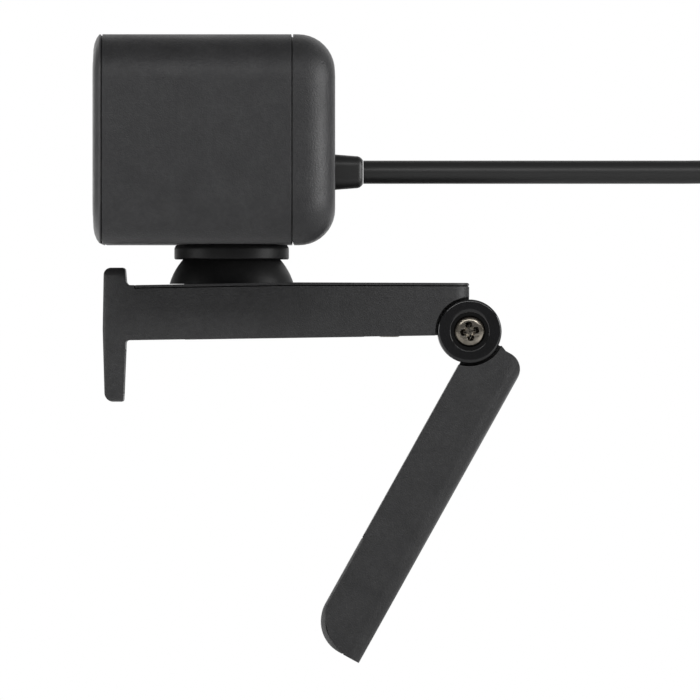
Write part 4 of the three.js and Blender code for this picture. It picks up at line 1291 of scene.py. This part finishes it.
@dataclass
class TiltSwivel:
    """The ball that pans and the collar that nods on it."""

    ball_z: float = 6.67
    ball: float = 11.7
    hollow: float = 9.6
    foot: float = 9.95
    socket: float = 12.0

    def arc(self, radius: float, low: float, high: float, steps: int = 16) -> list[Corner]:
        """Part of a ball's profile between two heights above its centre."""
        start, end = math.asin(low / radius), math.asin(high / radius)
        turns = [start + (end - start) * i / steps for i in range(steps + 1)]
        return [Corner(radius * math.cos(t), self.ball_z + radius * math.sin(t)) for t in turns]

    def dome(self) -> None:
        """The hollow ball with its spigot and the slot for the tilt bolt."""
        low = self.foot - self.ball_z
        profile = [Corner(5.6, 6.1), Corner(8.6, 6.1, 0.3), Corner(8.6, self.foot)]
        profile += self.arc(self.ball, low, self.ball - 0.01)
        profile += [Corner(0, self.ball_z + self.ball), Corner(0, self.ball_z + self.hollow)]
        profile += self.arc(self.hollow, low + 1.3, self.hollow - 0.01)[::-1]
        profile += [Corner(5.6, self.foot + 1.3)]
        ball = turned(profile, Axis.Z, closed=True)
        slot = slab((-2, -5.6, 13), (2, 5.6, 20))
        holes = [
            rod(1.05, 5, 9.6, Axis.Z, (7.1 * math.cos(a), 7.1 * math.sin(a), 0), 24)
            for a in (math.radians(d) for d in (90, 210, 330))
        ]
        ball = shaped(ball, (Join.CUT, slot), *((Join.CUT, hole) for hole in holes))
        Piece("pan_ball", ball, SATIN_BLACK, "swivel", ("swivel_dome",), "satin_plastic", 0.1).place()

    def collar(self) -> None:
        """The collar under the head, hollowed to sit on the ball."""
        top = 17.05
        profile = [Corner(0, self.ball_z + self.socket)]
        profile += self.arc(self.socket, 14.36 - self.ball_z, self.socket - 0.01)[::-1]
        profile += [
            Corner(10.36, 14.36, 0.3),
            Corner(10.36, top - 0.55, 0.3),
            Corner(9.95, top, 0.2),
            Corner(8.0, top),
            Corner(8.0, 22, 0.2),
            Corner(0, 22),
        ]
        form = shaped(turned(profile, Axis.Z), (Join.CUT, rod(1.8, 10, 30, Axis.Z, (0, 0, 0), 32)))
        Piece("tilt_collar", form, SATIN_BLACK, "head", ("swivel_collar",), "satin_plastic", 0.06).place()

    def build(self) -> None:
        """Makes the ball and the collar."""
        self.dome()
        self.collar()


# ---------------------------------------------------------------- clip


@dataclass
class MonitorClip:
    """The arm with its hook, lid and pads, and the hinge's fixed pieces."""

    half: float = 14.0
    rear: float = 42.98
    hinge: tuple[float, float] = (42.98, 1.36)
    cut: float = 6.2
    slope: float = 0.0155
    lid_screws: tuple[float, float] = (-13.0, 28.5)
    arm_top: tuple[tuple[float, float], ...] = ((-17.5, 9.7), (11.3, 10.2), (42.9, 10.1))

    def under(self, y: float) -> float:
        """The height of the arm's underside."""
        return self.slope * y + 0.05

    def plan(self, front: float, rear: float, chamfer: float) -> list[Corner]:
        """The clip from above, with round rear corners."""
        return [
            Corner(-self.half, front, chamfer, 3),
            Corner(self.half, front, chamfer, 3),
            Corner(self.half, rear, 3.3, 12),
            Corner(-self.half, rear, 3.3, 12),
        ]

    def side(self) -> list[Corner]:
        """The arm and its hook from the side."""
        top = [(y, z - 0.65) for y, z in self.arm_top]
        return [
            Corner(-19.05, self.under(-19.05), 0.5, 4),
            Corner(top[2][0], self.under(self.rear)),
            Corner(top[2][0], top[2][1], 0.15, 2),
            Corner(*top[1]),
            Corner(*top[0]),
            Corner(-17.5, 9.7),
            Corner(-18.95, 9.72, 0.7, 6),
            Corner(-19.2, 12.85, 0.4, 6),
            Corner(-23.0, 12.85, 1.3, 8),
            Corner(-23.2, 1.7),
            Corner(-22.85, -10.6, 0.8, 6),
            Corner(-21.75, -11.33, 0.4, 4),
            Corner(-19.5, -11.33, 0.3, 4),
        ]

    def arm(self) -> None:
        """The arm with the hook plate, its channel, its pockets and the two hinge ears."""
        y, z = self.hinge
        front_view = rounded_corners(2 * self.half, 24.18, 2.2, (0, 0.76), 10)
        form = shaped(
            prism(self.side(), Axis.X, -self.half, self.half),
            (Join.KEEP, prism(self.plan(-23.3, self.rear, 1.2), Axis.Z, -20, 20)),
            (Join.KEEP, prism(front_view, Axis.Y, -30, 50)),
            (Join.CUT, rod(self.cut, -20, 20, Axis.X, (0, y, z), 96)),
            (Join.CUT, slab((-12.2, -15.5, 2.4), (12.2, 33, 12))),
            (Join.CUT, self.pad_room()),
            (Join.CUT, slab((-10.3, -20.45, -9.9), (10.3, -18, -1.9))),
        )
        for side in (-1, 1):
            near, far = sorted((5.5 * side, 10.5 * side))
            ear = shaped(
                rod(5.3, near, far, Axis.X, (0, y, z)),
                (Join.ADD, slab((near, y - 7, z - 0.7), (far, y - 0.1, z + 6.24))),
                (Join.CUT, rod(1.8, near - 1, far + 1, Axis.X, (0, y, z), 32)),
            )
            form = shaped(form, (Join.ADD, ear))
        for place in self.lid_screws:
            form = shaped(
                form,
                (Join.CUT, rod(1.5, -1, 4, Axis.Z, (0, place, 0), 32)),
                (Join.CUT, rod(2.5, -1, 1.4, Axis.Z, (0, place, 0), 40)),
            )
        Piece("clip_body", form, CLIP_GRAIN, "clip", ("clip_arm",), "grained_plastic", 0.16, 3).place()

    def pad_room(self) -> Form:
        """The pocket for the rest pad, along the slope."""
        ends = (-8.8, 24.3)
        outline = [Corner(ends[0], -2), Corner(ends[1], -2)]
        outline += [Corner(y, self.slope * y + 1.3) for y in reversed(ends)]
        return prism(outline, Axis.X, -10.3, 10.3)

    def lid(self) -> None:
        """The thin lid on the arm, recessed round the ball."""
        top = list(self.arm_top)
        outline = [Corner(y, z - 0.45) for y, z in top]
        outline += [Corner(*top[2], 0.38, 6), Corner(*top[1]), Corner(*top[0], 0.1, 2)]
        seam = [(-17.45, top[0][1]), top[1], (42.7, top[2][1])]
        skirt = [Corner(y, z - 0.63) for y, z in seam] + [Corner(y, z - 0.3) for y, z in reversed(seam)]
        tray = [Corner(y, z) for y, z in ((-15.2, 7.6), (32.7, 7.6), (32.7, 9.9), (11.3, 10.0), (-15.2, 9.5))]
        rim = shaped(
            prism(outline, Axis.X, -self.half, self.half),
            (Join.KEEP, prism(self.plan(-17.3, self.rear - 0.08, 0.1), Axis.Z, 0, 20)),
            (Join.ADD, prism(tray, Axis.X, -11.9, 11.9)),
            (Join.ADD, prism(skirt, Axis.X, -11.5, 11.5)),
        )
        for place in self.lid_screws:
            rim = shaped(rim, (Join.ADD, rod(2.2, 2.7, 8, Axis.Z, (0, place, 0), 40)))
        for place in self.lid_screws:
            rim = shaped(rim, (Join.CUT, rod(1.05, 2, 7, Axis.Z, (0, place, 0), 24)))
        rim = shaped(
            rim,
            (Join.CUT, rod(11.6, 9.65, 12, Axis.Z, (0, 0, 0), 96)),
            (Join.CUT, rod(8.9, 5, 12, Axis.Z, (0, 0, 0), 96)),
        )
        Piece("arm_lid", rim, CLIP_GRAIN, "clip", ("arm_top_cover",), "grained_plastic", 0.1, 2).place()

    def pads(self) -> None:
        """The ribbed rest pad under the arm."""
        outline = [Corner(y, self.slope * y) for y in (-8.5, 24.0)]
        outline += [Corner(y, self.slope * y + 1.19) for y in (24.0, -8.5)]
        pad = prism(outline, Axis.X, -10, 10)
        for i in range(9):
            y = -6.5 + i * 3.55
            groove = slab((-8.6, y - 0.45, -1), (8.6, y + 0.45, self.slope * y + 0.3))
            pad = shaped(pad, (Join.CUT, groove))
        Piece("arm_pad", pad, PAD_GREY, "clip", ("rest_pad",), "pad_rubber", 0.12).place()

    def hinge_caps(self) -> None:
        """The two glossy caps that close the hinge."""
        y, z = self.hinge
        for side, name in ((1, "right"), (-1, "left")):
            seat = 3.45 if side > 0 else 3.4
            profile = [
                Corner(1.8, 10.8),
                Corner(5.76, 10.8, 0.12, 3),
                Corner(5.76, 14.4, 0.45, 6),
                Corner(seat, 14.4, 0.18, 4),
                Corner(seat, 11.9),
                Corner(1.8, 11.9),
            ]
            mirrored = [Corner(c.first, c.second * side, c.cut, c.steps) for c in profile]
            cap = turned(mirrored, Axis.X, (0, y, z), 128, closed=True)
            Piece(f"cap_{name}", cap, PIANO_BLACK, "clip", (f"hinge_cap_{name}",), "gloss_black", 0.0).place()

    def screw(self) -> None:
        """The hinge's pan-head screw with its cross recess, a little off square as it was left."""
        y, z = self.hinge
        profile = [
            Corner(0, -13.8),
            Corner(1.5, -13.8, 0.2, 2),
            Corner(1.5, 12.2),
            Corner(2.83, 12.2, 0.1, 2),
            Corner(2.83, 13.45, 0.25, 4),
            Corner(2.35, 13.95, 0.5, 6),
            Corner(0, 14.08),
        ]
        head = turned(profile, Axis.X, (0, 0, 0), 96)
        form = head
        depths = [(15.0, 0.0), (13.98, 0.0), (12.6, 0.45)]
        for size, radius in (((3.5, 1.26), 0.5), ((1.26, 3.5), 0.5), ((2.1, 2.1), 0.9)):
            form = shaped(form, (Join.CUT, stepped_block(size, radius, depths, Axis.X, steps=4)))
        bmesh.ops.transform(form, matrix=Matrix.Rotation(math.radians(10), 4, "X"), verts=form.verts)
        bmesh.ops.translate(form, verts=form.verts, vec=(0, y, z))
        Piece("hinge_bolt", form, NICKEL, "clip", ("hinge_screw",), "steel", 0.07, 2).place()

    def build(self) -> None:
        """Makes every piece of the clip."""
        self.arm()
        self.lid()
        self.pads()
        self.hinge_caps()
        self.screw()


# ---------------------------------------------------------------- leg


@dataclass
class FoldingLeg:
    """The leg, drawn hanging straight down from the hinge and then leaned into place."""

    half: float = 14.0
    inner: float = 1.24
    outer: float = 11.66
    length: float = 62.0
    edge_round: float = 3.2
    cradle: float = 6.3
    tip: float = 6.25
    proud: float = 0.3
    tip_proud: float = 1.0
    pad_start: float = 42.0
    socket: float = 43.0
    lean: float = -29.14
    hinge: tuple[float, float] = (42.98, 1.36)

    def leaned(self, form: Form) -> Form:
        """Turns a form about the hinge and moves it there."""
        turn = Matrix.Rotation(math.radians(self.lean), 4, "X")
        bmesh.ops.transform(form, matrix=Matrix.Translation((0, *self.hinge)) @ turn, verts=form.verts)
        return form

    def body(self) -> Form:
        """The leg's solid outline, drawn back where the pad stands a little proud of it."""
        start = math.acos(self.inner / self.cradle)
        reach = self.cradle / math.cos((start + math.radians(5)) / 2)
        lean = (math.radians(5) - start) / 2
        blend = self.cradle * math.tan((start + math.radians(5)) / 2)
        inner = self.inner
        outline = [
            Corner(self.cradle * math.cos(start), -self.cradle * math.sin(start)),
            Corner(reach * math.cos(lean), reach * math.sin(lean), blend, 24),
            Corner(self.cradle * math.cos(math.radians(5)), self.cradle * math.sin(math.radians(5))),
            Corner(7.4, 0.09),
            Corner(self.outer, 0.09, self.edge_round, 12),
            Corner(self.outer, -self.length),
            Corner(8.4, -self.length),
            Corner(8.4, -self.length + self.proud),
            *self.tip_edge(),
            Corner(inner + self.proud, -self.pad_start),
            Corner(inner, -self.pad_start + 0.01),
        ]
        return prism(outline, Axis.X, -self.half, self.half)

    def tip_edge(self) -> list[Corner]:
        """The side wall's edge round the tip, furthest behind the pad half-way round."""
        corners = []
        for i in range(25):
            turn = math.pi / 2 * (1 - i / 24)
            radius = self.tip - self.proud - (self.tip_proud - self.proud) * math.sin(2 * turn)
            corners.append(
                Corner(
                    self.inner + self.tip - radius * math.cos(turn),
                    -self.length + self.tip - radius * math.sin(turn),
                )
            )
        return corners

    def pad_channel(self) -> Form:
        """The room between the side walls that the pad lies in."""
        seat = 1.2
        inner = self.inner
        outline = [
            Corner(inner - 1, -self.pad_start),
            Corner(inner + seat, -self.pad_start),
            Corner(inner + seat, -self.length + seat, self.tip - seat, 14),
            Corner(8.4, -self.length + seat),
            Corner(8.4, -self.length - 1),
            Corner(inner - 1, -self.length - 1),
        ]
        return prism(outline, Axis.X, -13.3, 13.3)

    def shell(self) -> None:
        """The leg's shell with round outer edges, its hollow, the knuckle and the socket's boss."""
        half, outer, edge = self.half, self.outer, self.edge_round
        plan = [
            Corner(-half, self.inner - 1),
            Corner(half, self.inner - 1),
            Corner(half, outer, edge, 12),
            Corner(-half, outer, edge, 12),
        ]
        form = shaped(self.body(), (Join.KEEP, prism(plan, Axis.Z, -self.length - 1, 2)))
        boss = (0, 0, -self.socket)
        form = shaped(
            form,
            (Join.CUT, self.pad_channel()),
            (Join.CUT, slab((-12, 0, -57), (12, self.outer - 1.8, -10))),
            (Join.ADD, rod(6, 4.6, self.outer - 1, Axis.Y, boss)),
            (Join.CUT, rod(4.7, 4, self.outer + 1, Axis.Y, boss)),
            (Join.ADD, rod(5.5, -4.3, 4.3, Axis.X, (0, 0, 0))),
            (Join.ADD, slab((-4.3, self.inner + 0.05, -8), (4.3, 6.4, 0.4))),
            (Join.CUT, rod(2.9, -20, 20, Axis.X, (0, 0, 0), 48)),
        )
        Piece(
            "leg_body", self.leaned(form), CLIP_GRAIN, "leg", ("leg_shell",), "grained_plastic", 0.16, 3
        ).place()

    def plate(self) -> None:
        """The plate over the leg's hollow, with a shallow panel line."""
        step = -self.pad_start + 0.8
        back = self.inner + 1.2
        outline = [
            Corner(self.inner, -10.3, 0.2, 3),
            Corner(self.inner, step),
            Corner(back, step),
            Corner(back, -56.7),
            Corner(back + 0.9, -56.7),
            Corner(back + 0.9, step + 1.5),
            Corner(self.inner + 1.6, step + 2.4),
            Corner(self.inner + 1.6, -10.3),
        ]
        form = prism(outline, Axis.X, -11.7, 11.7)
        for x in (-9.2, 9.2):
            line = slab((x - 0.2, self.inner - 1, step + 1.5), (x + 0.2, self.inner + 0.25, -12.5))
            form = shaped(form, (Join.CUT, line))
        Piece(
            "leg_back_plate", self.leaned(form), SATIN_BLACK, "leg", ("leg_inner_plate",), "satin_plastic", 0.1
        ).place()

    def pad(self) -> None:
        """The rubber band down the inner face and round the tip."""
        thick, end = 0.9, 8.38
        start = -self.pad_start - 0.05
        outline = [
            Corner(self.inner, start, 0.3, 3),
            Corner(self.inner, -self.length, self.tip, 16),
            Corner(end, -self.length, 0.3, 3),
            Corner(end, -self.length + thick),
            Corner(self.inner + thick, -self.length + thick, self.tip - thick, 16),
            Corner(self.inner + thick, start),
        ]
        form = prism(outline, Axis.X, -13.0, 13.0)
        for i in range(4):
            z = start - 2.6 - i * 2.6
            groove = slab((-11.6, self.inner - 1, z - 0.35), (11.6, self.inner + 0.25, z + 0.35))
            form = shaped(form, (Join.CUT, groove))
        Piece("tip_pad", self.leaned(form), PAD_GREY, "leg", ("leg_pad",), "pad_rubber", 0.12).place()

    def insert(self) -> None:
        """The brass tripod insert with threads cut in its bore and a chamfered mouth."""
        mouth, depth = self.outer - 0.1, 5.3
        profile = [Corner(4.4, depth, 0.15, 2), Corner(4.4, mouth, 0.15, 2), Corner(3.2, mouth), Corner(2.62, mouth - 0.6)]
        pitch = 1.27
        for i in range(int((mouth - 0.8 - depth) / pitch)):
            top = mouth - 0.9 - i * pitch
            profile += [Corner(3.1, top - pitch * 0.35), Corner(2.5, top - pitch * 0.85), Corner(2.5, top - pitch)]
        profile.append(Corner(2.5, depth))
        form = turned(profile, Axis.Y, (0, 0, -self.socket), closed=True)
        Piece("socket_insert", self.leaned(form), BRASS, "leg", ("tripod_insert",), "brass", 0.0).place()

    def build(self) -> None:
        """Makes every piece of the leg."""
        self.shell()
        self.plate()
        self.pad()
        self.insert()


# ---------------------------------------------------------------- the whole


@dataclass
class InnerWorks:
    """The frame's nodes that stay as they are and only get their finish."""

    finishes: dict[str, Finish] = field(default_factory=lambda: dict(CARRIED_OVER))

    def dress(self) -> None:
        """Gives each node its material."""
        for name, finish in self.finishes.items():
            mesh = bpy.data.objects[name].data
            mesh.materials.clear()
            mesh.materials.append(finish.material())
            LOG.info("%s: dressed in %s", name, finish.name)


def main() -> None:
    """Builds the webcam over its frame."""
    logging.basicConfig(level=logging.INFO, format="%(name)s %(message)s", force=True)
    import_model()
    CameraRig().place()
    UsbCord().build()
    Studio().build()
    CameraHead().build()
    PrivacyShutter().build()
    TiltSwivel().build()
    MonitorClip().build()
    FoldingLeg().build()
    InnerWorks().dress()


if __name__ == "__main__":
    main()
